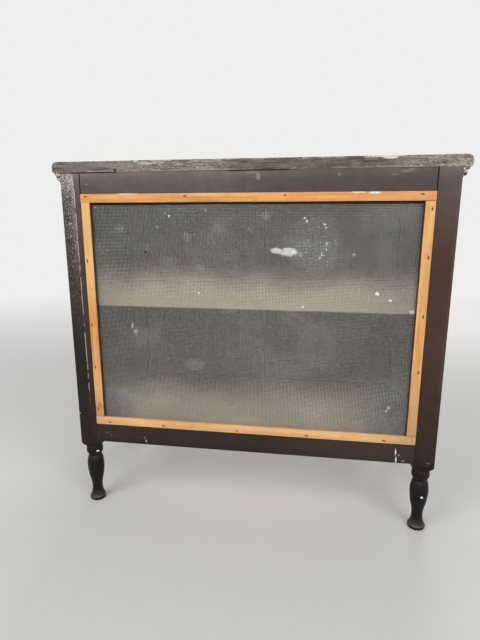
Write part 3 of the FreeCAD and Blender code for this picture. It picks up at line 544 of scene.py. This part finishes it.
# Bare in two stretches of the edge, then the top face, the cracks, the pits and the chips.
bare = larger(near(x, -0.185, 0.22, 0.0), near(x, 0.42, 0.16, 0.0))
bare *= ease(grit(place, (22, 50, 110), 4.0, 0.7), 0.30, 0.55)
colour = coat(colour, coat(tone(132, 118, 104), tone(180, 168, 158), grain["Streak"]), bare)
on_top = ease(z, 0.8935, 0.8948)
colour = coat(colour, coat(tone(62, 52, 49), tone(100, 88, 82), cloudy), on_top * 0.55)
cracks = grit(place, (14, 260, 320), 4.0, 0.6)
colour = coat(colour, tone(48, 40, 36), ease(cracks, 0.57, 0.65) * 0.5)
pits = grit(place, (130, 200, 280), 4.0, 0.7) * (bare * 0.16 + 0.92)
colour = coat(colour, tone(58, 50, 46), ease(pits, 0.53, 0.61) * 0.7)
chips = grit(vector_calc("ADD", place, (0.7, 0.3, 0.2)), (160, 200, 300), 4.0, 0.7)
colour = coat(colour, tone(196, 190, 182), ease(chips, 0.56, 0.66) * bare * 0.6)
worn = placed(arris_wear, Board=board, Reach=reach, Width=5.5 * MM, Ragged=blotch)["Mask"]
colour = coat(colour, tone(176, 168, 158), worn * (ease(z, 0.880, 0.888) * 0.35 + 0.25))
colour = put_marks(colour, place, grit(place, 420), [
    (300, 893.6, 34, 1.8, 216, 209, 200), (304, 890.8, 15, 2.8, 212, 205, 196),
    (-350, 876.5, 28, 1.6, 64, 55, 51), (-207, 879, 1.4, 3.4, 52, 44, 40),
    (-215, 882.5, 8, 1.4, 70, 60, 53), (-262, 893.5, 6, 2.2, 196, 190, 182),
    (-240, 888, 18, 2.2, 184, 176, 166), (-313, 874, 4, 3.2, 30, 24, 22),
])
wood = placed(bare_wood, Board=board, Seed=seed, Place=place)
coat(colour, wood["Color"], placed(unpainted, Place=place)["Mask"]).into(skin["Base Color"])
(blotch * 0.3 + 0.45).into(skin["Roughness"])
bumps = blotch * 0.9 + grain["Streak"] - ease(cracks, 0.54, 0.66)
relief(bumps, 0.8 * MM).into(skin["Normal"])

timber("top_board", top_paint, 1.6 * MM, ends=True)

mould_paint, tree, skin = surface("blistered_mould_paint", Specular_IOR_Level=0.28)
place = object_place(tree)
_, y, _ = parts(place)
flecks = grit(place, 190, 3.0, 0.7)
colour = coat(tone(44, 35, 32), tone(80, 68, 63), grit(place, 16, 4.0, 0.6))
rear_end = ease(y, REAR_FACE + 60 * MM, REAR_FACE + 5 * MM)
pale = (rear_end * 0.5 + 0.18) * ease(flecks, 0.46, 0.56)
coat(colour, tone(190, 182, 176), smaller(pale * 1.9, 1.0)).into(skin["Base Color"])
(flecks * 0.3 + 0.5).into(skin["Roughness"])
relief(flecks, 0.6 * MM).into(skin["Normal"])

for side in ("left", "right", "front"):
    timber(f"moulding_{side}", mould_paint)

# ------------------------------------------------------------------ zinc sheet
# One thin sheet of zinc punched with small square holes in straight rows, dulled grey and
# dusty, and a little buckled. It is made in six lengths that meet edge to edge.

zinc, tree, skin = surface("dull_zinc", Metallic=0.35, Specular_IOR_Level=0.3)
place = object_place(tree)
x, _, z = parts(place)
cloudy = grit(place, 9, 5.0, 0.6)
spangle = grit(place, 120)

# Grey metal, clouded and spangled, under a haze of dirt.
colour = coat(tone(94, 92, 90), tone(122, 120, 118), cloudy)
colour = coat(colour, tone(150, 150, 148), ease(spangle, 0.4, 0.7) * 0.25)
haze = ease(grit(place, (6, 6, 8), 5.0, 0.65), 0.46, 0.66)
colour = coat(colour, tone(152, 150, 146), haze * 0.45)

# Pale bands at the shelf and low over the floor board: painted light, standing in for the lit boards seen
# through the holes.
shelf_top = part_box("shelf")[1].z
level = z + (grit(place, 5, 3.0, 0.6) - 0.5) * (120 * MM)
at_shelf = ease(level, shelf_top + 112 * MM, shelf_top + 6 * MM)
at_shelf *= ease(z, shelf_top - 16 * MM, shelf_top - 11 * MM)
at_shelf *= 1.0 - near(x, -0.02, 0.22, 0.40) * 0.5
at_floor = ease(level, 0.400, 0.290) * ease(x, -0.375, -0.25) * ease(x, 0.380, 0.20)
colour = coat(colour, tone(190, 177, 155), larger(at_shelf * 0.60, at_floor * 0.42))
colour = put_marks(colour, place, grit(place, 420), [
    # the filler, the larger splashes, two dull patches and a dark spot
    (65, 692, 15, 7, 188, 189, 186), (92, 689, 20, 9.5, 194, 195, 192), (103, 690, 3.5, 3.5, 240, 240, 238),
    (119, 684, 5, 6, 176, 176, 174), (-294, 502, 3, 8, 196, 197, 195), (-285, 487, 5, 8, 190, 190, 188),
    (294, 597, 4.5, 4.5, 240, 240, 238), (324, 582, 4, 3.5, 225, 225, 222), (373, 557, 6, 4, 200, 206, 196),
    (337, 322, 4, 5, 176, 178, 176), (331, 313, 3, 3, 186, 188, 186), (169.5, 753.5, 3, 2.5, 190, 190, 188),
    (176.5, 707, 6, 8, 158, 158, 156), (238.5, 685, 4, 4, 176, 177, 175), (-196, 663, 22, 12, 132, 132, 128),
    (-135, 407, 26, 16, 140, 139, 135), (-251, 686, 3.2, 3.2, 30, 28, 26),
    # bright specks, dim specks and faint smears
    *((along, up, 2.8, 2.8, 236, 236, 233) for along, up in (
        (127, 765), (131, 759), (172, 751), (175, 744), (178, 708), (176, 696), (163, 676), (168, 683),
        (-189, 770), (-121, 589), (128, 562))),
    *((along, up, 2.4, 2.4, 172, 172, 169) for along, up in (
        (-1, 742), (-199, 777), (-217, 745), (-252, 635), (-372, 792))),
    *((along, up, 12, 10, 142, 141, 139) for along, up in (
        (-313, 741), (-76, 743), (-117, 649), (39, 770), (131, 708), (-147, 722))),
], behind=8, half_depth=4)

# White specks of splashed limewash, thickest towards the upper right.
splashed = placed(mark, Place=place, Centre=(0.150, REAR_FACE + 8 * MM, 0.705),
                  Size=(65 * MM, 20 * MM, 70 * MM), Ragged=cloudy)["Mask"]
colour = coat(colour, tone(160, 159, 157), splashed * 0.22)
scattered = 0.70 - splashed * 0.060
colour = coat(colour, tone(216, 217, 214), ease(grit(place, 230), scattered, scattered + 0.03) * 0.8)

# Painted shadow of the battens on the sheet: in the corner under the top batten and beside the others.
ragged = (grit(place, 30) - 0.5) * (2 * MM)
low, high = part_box("batten_left")
under = ease(z + ragged, high.z - 6.5 * MM, high.z - 5 * MM)
beside = ease(abs(x) + ragged, -high.x - 2.5 * MM, -high.x - 1 * MM)
coat(colour, tone(18, 13, 11), larger(under, beside * 0.7) * 0.92).into(skin["Base Color"])
(cloudy * 0.3 + 0.45).into(skin["Roughness"])
relief(spangle, 0.15 * MM).into(skin["Normal"])


def geometry_tree(name, inputs):
    """Start a tree of geometry nodes; inputs are its named measures."""
    start = {"Geometry": "Geometry"}
    return group_of("GeometryNodeTree", name, {**start, **inputs, "Material": "Material"}, start)


def shape(kind, sockets, tree=None):
    """Put in a geometry node and give its first output."""
    return add("GeometryNode" + kind, sockets, tree)


def moved(geometry, **how):
    return shape("Transform", {"Geometry": geometry, **how})


def joined(*pieces):
    made = new_node("GeometryNodeJoinGeometry", tree=pieces[0].tree)
    for piece in pieces:
        piece.into(made.inputs[0])
    return Wire(made.outputs[0])


def welded(geometry):
    """Make points that touch one."""
    return shape("MergeByDistance", {0: geometry, "Distance": 0.02 * MM})


def finished(geometry, given, gives):
    """Give the whole its material and hand it out."""
    shape("SetMaterial", {"Geometry": geometry, "Material": given["Material"]}).into(gives[0])


def grown(name, tree, start=None, **sizes):
    """Run a geometry tree and keep what it makes as a plain mesh."""
    holder = bpy.data.objects.new(name, start or bpy.data.meshes.new(name + "_start"))
    bpy.context.scene.collection.objects.link(holder)
    modifier = holder.modifiers.new("build", "NODES")
    modifier.node_group = tree
    for socket in tree.interface.items_tree:
        if socket.in_out == "INPUT" and socket.name in sizes:
            modifier[socket.identifier] = sizes[socket.name]
    built = holder.evaluated_get(bpy.context.evaluated_depsgraph_get())
    mesh = bpy.data.meshes.new_from_object(built)
    holder.modifiers.remove(modifier)
    holder.data = mesh
    return holder


# A splash of old filler has shut the holes in two places that touch, and a long strip under the top batten is
# shut to carry the painted shadow of the batten: x, z and half sizes in millimetres.
BATTEN_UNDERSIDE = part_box("batten_left")[1].z / MM
FILLED = {"A": (65, 692, 14, 6.5), "B": (92, 689, 20, 9.5), "C": (20, BATTEN_UNDERSIDE, 560, 6.0)}
HOLE_PITCH = Vector((3.4, 3.3)) * MM
HOLE_HALF = Vector((1.15, 1.12)) * MM
SHEET_LENGTHS = (39, 39, 40, 40, 39, 39)

punched, given, gives = geometry_tree("punched_sheet", {
    "Columns": "Int", "Rows": "Int", "First Column": "Float", "Pitch": "Vector", "Hole": "Vector",
    "Thickness": "Float", "Buckle": "Float", "Centre": "Vector",
    **{label + which: "Vector" for label in ("Filled ", "Filled Half ") for which in FILLED},
    "Clogged Low": "Float", "Clogged High": "Float", "Clogged Floor": "Float", "Clogged Fade": "Float",
    "Clogged Share": "Float"})

# A cell with its square hole, and a shut one, set out in rows to one length of the sheet.
pitch_x, pitch_z, _ = parts(given["Pitch"])
plate = shape("CurvePrimitiveQuadrilateral", {"Width": pitch_x, "Height": pitch_z})
ring = shape("CurvePrimitiveCircle", {"Resolution": 4, "Radius": math.sqrt(2)}, punched)
hole = moved(moved(ring, Rotation=(0, 0, math.pi / 4)), Scale=given["Hole"])
cell = shape("FillCurve", {0: joined(plate, hole)})
shut_cell = shape("FillCurve", {0: plate})
span_x, span_z = (given["Columns"] - 1.0) * pitch_x, (given["Rows"] - 1.0) * pitch_z
centres = shape("MeshGrid", {"Size X": span_x, "Size Y": span_z,
                             "Vertices X": given["Columns"], "Vertices Y": given["Rows"]})
centres = moved(centres, Translation=whole(span_x * 0.5 + given["First Column"] * pitch_x))
spot = shape("InputPosition", {}, punched)
open_here = smaller(*(spread(spot, given["Filled " + which], given["Filled Half " + which])
                      for which in FILLED)) > 1.0
layer = welded(shape("RealizeInstances", {0: joined(*(
    shape("InstanceOnPoints", {"Points": centres, "Instance": kind, "Selection": where})
    for kind, where in ((cell, open_here), (shut_cell, 1.0 - open_here))))}))

# Dust narrows the holes near the shelf and the floor, so that more of the sheet's painted-light bands shows
# there: each hole's corners move inwards.
spot_x, spot_z, _ = parts(spot)
off_x = calc("FRACT", spot_x / pitch_x) - 0.5
off_z = calc("FRACT", given["Rows"] * 0.5 + spot_z / pitch_z) - 0.5
corner = (abs(off_x) < 0.42) * (abs(off_z) < 0.42)
by_shelf, by_floor = (ease(spot_z, given["Clogged " + end] + given["Clogged Fade"], given["Clogged " + end])
                      for end in ("High", "Floor"))
by_shelf *= spot_z > given["Clogged Low"]
uneven = add("ShaderNodeTexNoise", {"Vector": spot, "Scale": 45.0, "Detail": 2.0})
inwards = corner * larger(by_shelf, by_floor * 0.7) * (uneven + 0.5) * given["Clogged Share"] * -1.0
narrowed = shape("SetPosition", {
    "Geometry": layer, "Offset": whole(off_x * pitch_x * inwards, off_z * pitch_z * inwards)})

# It buckles a little away from its nailed edges, gets its thickness and is stood up.
waves = add("ShaderNodeTexNoise", {"Vector": spot, "Scale": 5.0, "Detail": 1.0})
loose = ease(abs(spot_x), 0.375, 0.30) * ease(abs(spot_z), 0.265, 0.20)
lift = (waves - 0.5) * given["Buckle"] * loose
buckled = shape("SetPosition", {"Geometry": narrowed, "Offset": whole(z=lift)})
face = shape("ExtrudeMesh", {"Mesh": buckled, "Offset Scale": given["Thickness"], "Individual": False})
both_faces = welded(joined(face, shape("FlipFaces", {0: buckled})))
stood = moved(both_faces, Rotation=(math.pi / 2, 0, 0), Translation=given["Centre"])
finished(stood, given, gives)

low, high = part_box("zinc_sheet")
middle_z = (low.z + high.z) / 2
shelf_low, shelf_high = (end.z - middle_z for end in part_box("shelf"))
sizes = {"Rows": int((high.z - low.z) / HOLE_PITCH.y), "Pitch": (*HOLE_PITCH, 0), "Hole": (*HOLE_HALF, 1),
         "Thickness": 0.5 * MM, "Buckle": 4 * MM, "Centre": (0, high.y, middle_z), "Material": zinc,
         "Clogged Low": shelf_low, "Clogged High": shelf_high + 15 * MM, "Clogged Floor": 0.30 - middle_z,
         "Clogged Fade": 90 * MM, "Clogged Share": 0.5}
for which, (along, up, half_x, half_z) in FILLED.items():
    sizes["Filled " + which] = (along * MM, up * MM - middle_z, 0)
    sizes["Filled Half " + which] = (half_x * MM, half_z * MM, 1)
first = -sum(SHEET_LENGTHS) / 2
for number, count in enumerate(SHEET_LENGTHS, 1):
    sheet = grown(f"zinc_sheet_{number}", punched, **{"Columns": count, "First Column": first + 0.5}, **sizes)
    seat(sheet, zinc, "zinc_sheet")
    first += count

# ------------------------------------------------------------------ battens
# Four thin strips of new pine, sawn and left bare, nailed over the edges of the sheet. They
# bow a little, their arrises are rubbed pale and their inner edges are darkened with painted shade.

pine, tree, skin = surface("bare_pine", Specular_IOR_Level=0.3, Roughness=0.62)
place = object_place(tree)
x, y, z = parts(place)
board, reach, seed = carried(tree, "board", "reach", "seed")
grain = placed(timber_grain, Board=board, Seed=seed)
low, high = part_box("batten_left")
colour = grades(grain["Streak"], (0.3, 192, 128, 68), (0.5, 214, 153, 88), (0.7, 230, 174, 110))

# Paler low down, then yellower up the side strips, greyer at the ends of the bottom strip,
# pinker at the right of the top strip, and blotched all over.
colour = coat(colour, tone(222, 187, 142), ease(z, 0.50, 0.22) * 0.5)
yellower = larger(ease(x, -0.380, -0.3815), ease(x, 0.380, 0.3815) * 0.6)
yellower *= ease(z, 0.50, 0.64) * ease(z, 0.8016, 0.8010)
colour = coat(colour, tone(240, 194, 130), yellower * 0.6)
colour = coat(colour, tone(178, 142, 100), ease(z, 0.262, 0.256) * ease(abs(x), 0.28, 0.38) * 0.45)
colour = coat(colour, tone(214, 148, 104), ease(x, 0.10, 0.34) * ease(z, 0.800, 0.8014) * 0.45)
colour = coat(colour, tone(190, 126, 70), ease(grit(place, 26, 4.0, 0.6), 0.52, 0.72) * 0.5)
at_side = ease(z, low.z, low.z + 0.1 * MM) * ease(z, high.z, high.z - 0.1 * MM)
shade = (grain["Mottle"] * 0.4 + 0.80) * (1.0 - at_side * ease(z, low.z + 110 * MM, low.z) * 0.26)
colour = shaded(colour, shade * (1.0 - at_side * 0.06))
knots = add("ShaderNodeTexVoronoi", {"Vector": vector_calc("MULTIPLY", board, (5, 26, 26)), "Scale": 1.0,
                                     "Randomness": 1.0}, output="Distance")
colour = coat(colour, tone(158, 98, 50), ease(knots, 0.12, 0.03) * 0.5)
worn = placed(arris_wear, Board=board, Reach=reach, Width=1.6 * MM, Ragged=grain["Mottle"])["Mask"]
colour = coat(colour, tone(240, 206, 160), worn * 0.6)

# Painted shade on the inner sides, and painted shadow in the joints where the strips meet.
opening = (abs(x) < -high.x + 0.6 * MM) * ease(z, low.z + 0.4 * MM, low.z + 0.8 * MM)
opening *= (z < high.z + 0.6 * MM) * (y > low.y + 0.9 * MM)
colour = coat(colour, tone(66, 48, 32), opening * 0.9)
joint_shade = near(z, high.z, 0.9 * MM, 0.3 * MM) * (abs(x) > -high.x) * (ease(x, -0.1, 0.1) * 0.5 + 0.35)
colour = coat(colour, tone(74, 46, 26), joint_shade)

# Where the nails were driven, as shares of each strip's length from its left or lower end.
NAIL_SHARES = {
    "top": (0.016, 0.317, 0.601, 0.965),
    "bottom": (0.046, 0.226, 0.466, 0.682, 0.910),
    "left": (0.040, 0.251, 0.454, 0.748),
    "right": (0.296, 0.536, 0.779, 0.969),
}
nail_spots = []
stains = []
for edge, shares in NAIL_SHARES.items():
    (low, high), (cleat_low, cleat_high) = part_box(f"batten_{edge}"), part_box(f"cleat_{edge}")
    lengthwise = 0 if edge in ("top", "bottom") else 2
    for share in shares:
        spot = (cleat_low + cleat_high) / 2
        spot.y = low.y
        spot[lengthwise] = low[lengthwise] + share * (high[lengthwise] - low[lengthwise])
        nail_spots.append((spot, lengthwise))
        half_sizes = (4.8, 2.1) if lengthwise == 0 else (2.1, 4.8)
        stains.append((spot.x / MM, spot.z / MM, *half_sizes, 146, 88, 44, (low.y - REAR_FACE) / MM, 3))
colour = put_marks(colour, place, grit(place, 420), stains + [
    # pale fresh wood where the top strip's edge has split away, and a brown smear low on the left
    (238, 820.5, 18, 1.8, 240, 212, 184), (275, 819.3, 12, 2.4, 242, 218, 194),
    (-284, 820.8, 24, 1.6, 246, 214, 178), (-391, 290, 4, 7, 170, 118, 66),
], behind=-2, half_depth=4)
colour.into(skin["Base Color"])
relief(grain["Fibre"] * 0.4 + grain["Streak"], 0.3 * MM).into(skin["Normal"])

BATTEN_STEP = 12 * MM
ARRIS = 0.9 * MM
NAIL_PROUD = 0.45 * MM
WAVER = 0.35 * MM


def batten(node):
    """A strip in many short lengths, so that its sawn edges can waver."""
    low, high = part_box(node)
    low = low + Vector((0, NAIL_PROUD, 0))
    half = (high - low) / 2
    middle = (low + high) / 2
    along = 0 if half.x > half.z else 2
    across = 2 - along
    count = max(2, round(2 * half[along] / BATTEN_STEP))
    section = []
    for side_across, side_y in ((1, -1), (1, 1), (-1, 1), (-1, -1)):
        corner = [(half[across] - ARRIS, half.y), (half[across] - 0.3 * ARRIS, half.y - 0.3 * ARRIS),
                  (half[across], half.y - ARRIS)]
        if side_across * side_y > 0:
            corner.reverse()
        section += [(side_across * out, side_y * deep) for out, deep in corner]
    form = bmesh.new()
    rings = []
    for step in range(count + 1):
        at = -half[along] + 2 * half[along] * step / count
        ring = []
        for out, deep in section:
            drift = WAVER * abs(noise.noise(Vector((at * 25, math.copysign(2.7, out), half[along] * 7))))
            spot = Vector((0, deep, 0))
            spot[along] = at
            spot[across] = out - math.copysign(drift, out)
            ring.append(form.verts.new(middle + spot))
        rings.append(ring)
    for before, after in zip(rings, rings[1:]):
        for index in range(len(section)):
            follower = (index + 1) % len(section)
            form.faces.new((before[index], before[follower], after[follower], after[index]))
    form.faces.new(rings[0])
    form.faces.new(rings[-1])
    bmesh.ops.recalc_face_normals(form, faces=form.faces)
    seat(made_of(form, node + "_strip", low, high), pine, node)


for edge in EDGES:
    batten(f"batten_{edge}")

# ------------------------------------------------------------------ nails
# Oval wire nails rusted brown, driven through the battens and the sheet into the cleats, with
# their long heads along the grain and standing a hair proud.

rust, tree, skin = surface("rusted_nail", Metallic=0.3, Roughness=0.75)
fleck = grit(object_place(tree), 900)
coat(tone(64, 34, 18), tone(122, 70, 36), fleck).into(skin["Base Color"])
relief(fleck, 0.2 * MM).into(skin["Normal"])


def on_every_point(thing, given):
    """One such thing on each starting point, turned as the point says."""
    turn = add("GeometryNodeInputNamedAttribute", {"Name": "turn"}, thing.tree, data_type="FLOAT_VECTOR")
    return shape("RealizeInstances", {0: shape("InstanceOnPoints", {
        "Points": given["Geometry"], "Instance": thing, "Rotation": turn})})


def points_mesh(name, spots, turns):
    """Loose points, each with how the thing that stands there is turned."""
    mesh = bpy.data.meshes.new(name)
    mesh.from_pydata(spots, [], [])
    flat = [angle for turn in turns for angle in turn]
    mesh.attributes.new("turn", "FLOAT_VECTOR", "POINT").data.foreach_set("vector", flat)
    return mesh


driven, given, gives = geometry_tree("driven_nails", {
    "Head": "Vector", "Shank Radius": "Float", "Shank Length": "Float"})
head = moved(shape("MeshUVSphere", {"Segments": 14, "Rings": 8, "Radius": 1.0}, driven), Scale=given["Head"])
shank = shape("MeshCylinder", {"Vertices": 10, "Radius": given["Shank Radius"],
                               "Depth": given["Shank Length"]})
shank = moved(shank, Rotation=(math.pi / 2, 0, 0), Translation=whole(y=given["Shank Length"] * 0.5))
finished(on_every_point(joined(head, shank), given), given, gives)

HEAD_PROUD = 0.9 * MM
draw_nails = random.Random(5)
starts = points_mesh("nail_points", [spot + Vector((0, HEAD_PROUD, 0)) for spot, lengthwise in nail_spots],
                     [(0, draw_nails.uniform(-0.25, 0.25) + math.pi / 4 * lengthwise, 0)
                      for spot, lengthwise in nail_spots])
nails = grown("oval_nails", driven, starts, **{
    "Head": (2.7 * MM, HEAD_PROUD, 1.5 * MM), "Shank Radius": 1 * MM, "Shank Length": 18 * MM,
    "Material": rust})
seat(nails, rust, "batten_nails")

# ------------------------------------------------------------------ doors, knobs and turn button
# Two framed doors with one loose panel each, painted with the case, a turned knob on each
# meeting stile, and a wooden button on the rail above that turns down over both.

for hand in HANDS:
    for part in ("hinge_stile", "meeting_stile", "top_rail", "bottom_rail", "panel"):
        timber(f"door_{hand}_{part}", old_paint, PLANED, ends=True)
    timber(f"knob_{hand}", old_paint)
timber("turn_button", old_paint)

# ------------------------------------------------------------------ hinges and screws
# Steel butt hinges let into the stiles and posts, with loose pins and slotted countersunk
# screws, all dull and dark.

steel, tree, skin = surface("dull_hinge_steel", Metallic=0.8)
fleck = grit(object_place(tree), 260, 4.0, 0.65)
coat(tone(92, 88, 84), tone(96, 66, 46), ease(fleck, 0.4, 0.7)).into(skin["Base Color"])
(fleck * 0.4 + 0.3).into(skin["Roughness"])
relief(fleck, 0.1 * MM).into(skin["Normal"])

for node, slot in SLOT_OF.items():
    if slot == "hinge_iron":
        materials = frame["nodes"][node].data.materials
        materials.clear()
        materials.append(steel)

slotted, given, gives = geometry_tree("slotted_screws", dict.fromkeys(
    ("Head Radius", "Head Depth", "Shank Radius", "Length", "Slot Width", "Slot Depth"), "Float"))
cone = shape("MeshCone", {"Vertices": 20, "Radius Top": given["Head Radius"],
                          "Radius Bottom": given["Shank Radius"], "Depth": given["Head Depth"]})
block = whole(given["Head Radius"] * 3.0, given["Slot Width"], given["Slot Depth"] * 2.0)
block = moved(shape("MeshCube", {"Size": block}), Translation=whole(z=given["Head Depth"]))
head = add("GeometryNodeMeshBoolean", {0: cone, 1: block}, operation="DIFFERENCE")
below = given["Length"] - given["Head Depth"]
shank = shape("MeshCylinder", {"Vertices": 12, "Radius": given["Shank Radius"], "Depth": below})
screw = joined(head, moved(shank, Translation=whole(z=below * -0.5)))
flush = moved(screw, Translation=whole(z=given["Head Depth"] * -1.0))
finished(on_every_point(flush, given), given, gives)

SCREW_HEIGHTS = (303, 320, 337, 719.5, 736.5, 753.5)
SCREW_LENGTH = 14 * MM
draw_screws = random.Random(7)
for node, sides in (("case_hinge_screws", (-1, 1)), ("door_left_hinge_screws", (-1,)),
                    ("door_right_hinge_screws", (1,))):
    low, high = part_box(node)
    spots, turns = [], []
    for side in sides:
        # the case's heads face inwards and the doors' outwards, across the same gap
        if node == "case_hinge_screws":
            face, facing = side * (high.x - SCREW_LENGTH), Vector((-side, 0, 0))
        else:
            face, facing = (low.x if side < 0 else high.x), Vector((side, 0, 0))
        for up in SCREW_HEIGHTS:
            spots.append((face, (low.y + high.y) / 2, up * MM))
            spun = Quaternion(facing, draw_screws.uniform(0, math.pi)) @ facing.to_track_quat("Z", "Y")
            turns.append(tuple(spun.to_euler()))
    starts = points_mesh(node + "_points", spots, turns)
    screws = grown(node.replace("hinge_screws", "slotted_screws"), slotted, starts, **{
        "Head Radius": 3 * MM, "Head Depth": 1.2 * MM, "Shank Radius": 1.6 * MM, "Length": SCREW_LENGTH,
        "Slot Width": 0.8 * MM, "Slot Depth": 0.7 * MM, "Material": steel})
    seat(screws, steel, node)

# ------------------------------------------------------------------ floor, light and camera
# A plain pale floor that fades into a pale room, soft lamps before and behind the cupboard,
# and the camera.

ROOM = (0.86, 0.86, 0.85, 1)
pale_floor, tree, skin = surface("pale_floor", Roughness=0.9, Specular_IOR_Level=0.1)
skin["Base Color"].default_value = (0.70, 0.69, 0.67, 1)
to_camera = add("ShaderNodeLightPath", tree=tree, output="Is Camera Ray")
far = ease(length(object_place(tree)), 1.0, 4.0) * to_camera
glow = add("ShaderNodeEmission", {"Color": ROOM, "Strength": 1.0}, tree)
plain_skin = Wire(tree.nodes["Principled BSDF"].outputs[0])
faded = add("ShaderNodeMixShader", {0: far, 1: plain_skin, 2: glow})
faded.into(tree.nodes["Material Output"].inputs["Surface"])
mesh = bpy.data.meshes.new("floor")
mesh.from_pydata([(-12, -12, 0), (12, -12, 0), (12, 12, 0), (-12, 12, 0)], [], [(0, 1, 2, 3)])
mesh.materials.append(pale_floor)
floor = bpy.data.objects.new("floor", mesh)
bpy.context.scene.collection.objects.link(floor)

world = bpy.data.worlds.new("room")
world.use_nodes = True
tree = world.node_tree
seen = tree.nodes["Background"]
seen.inputs["Color"].default_value = ROOM
seen.inputs["Strength"].default_value = 1.0
lit = add("ShaderNodeBackground", {"Color": (1, 1, 1, 1), "Strength": 0.32}, tree)
path = wires(new_node("ShaderNodeLightPath", tree=tree))
direct = larger(path["Is Camera Ray"], path["Is Glossy Ray"], path["Is Transmission Ray"])
mixed = add("ShaderNodeMixShader", {0: direct, 1: lit, 2: Wire(seen.outputs[0])})
mixed.into(tree.nodes["World Output"].inputs[0])
bpy.context.scene.world = world


def lamp(name, spot, aim, width, height, power):
    light = bpy.data.lights.new(name, "AREA")
    light.shape = "RECTANGLE"
    light.size = width
    light.size_y = height
    light.energy = power
    holder = bpy.data.objects.new(name, light)
    holder.location = spot
    holder.rotation_euler = (Vector(aim) - Vector(spot)).to_track_quat("-Z", "Y").to_euler()
    bpy.context.scene.collection.objects.link(holder)


MIDDLE = (0, 0, 0.5)
lamp("left_window", (-1.7, -2.3, 2.4), MIDDLE, 1.8, 1.2, 42)
lamp("right_window", (1.7, -2.3, 2.4), MIDDLE, 1.8, 1.2, 42)
lamp("front_window", (-0.2, -3.3, 1.1), MIDDLE, 2.6, 1.2, 19)
lamp("rear_lamp", (0.4, 3.2, 1.9), MIDDLE, 2.6, 1.4, 66)

FOCAL_PIXELS = 466.7
IMAGE_HEIGHT = 640
EYE = (0.14617, -1.30085, 0.7709)
EYE_TURN = (77.3926, 0.0897, 8.7664)
camera = bpy.data.cameras.new("camera")
camera.sensor_fit = "VERTICAL"
camera.sensor_height = 36
camera.lens = FOCAL_PIXELS / IMAGE_HEIGHT * camera.sensor_height
eye = bpy.data.objects.new("camera", camera)
eye.location = EYE
eye.rotation_euler = [math.radians(turn) for turn in EYE_TURN]
bpy.context.scene.collection.objects.link(eye)
bpy.context.scene.camera = eye
bpy.context.scene.view_settings.view_transform = "Standard"


def plain(box):
    return [list(corner) for corner in box]
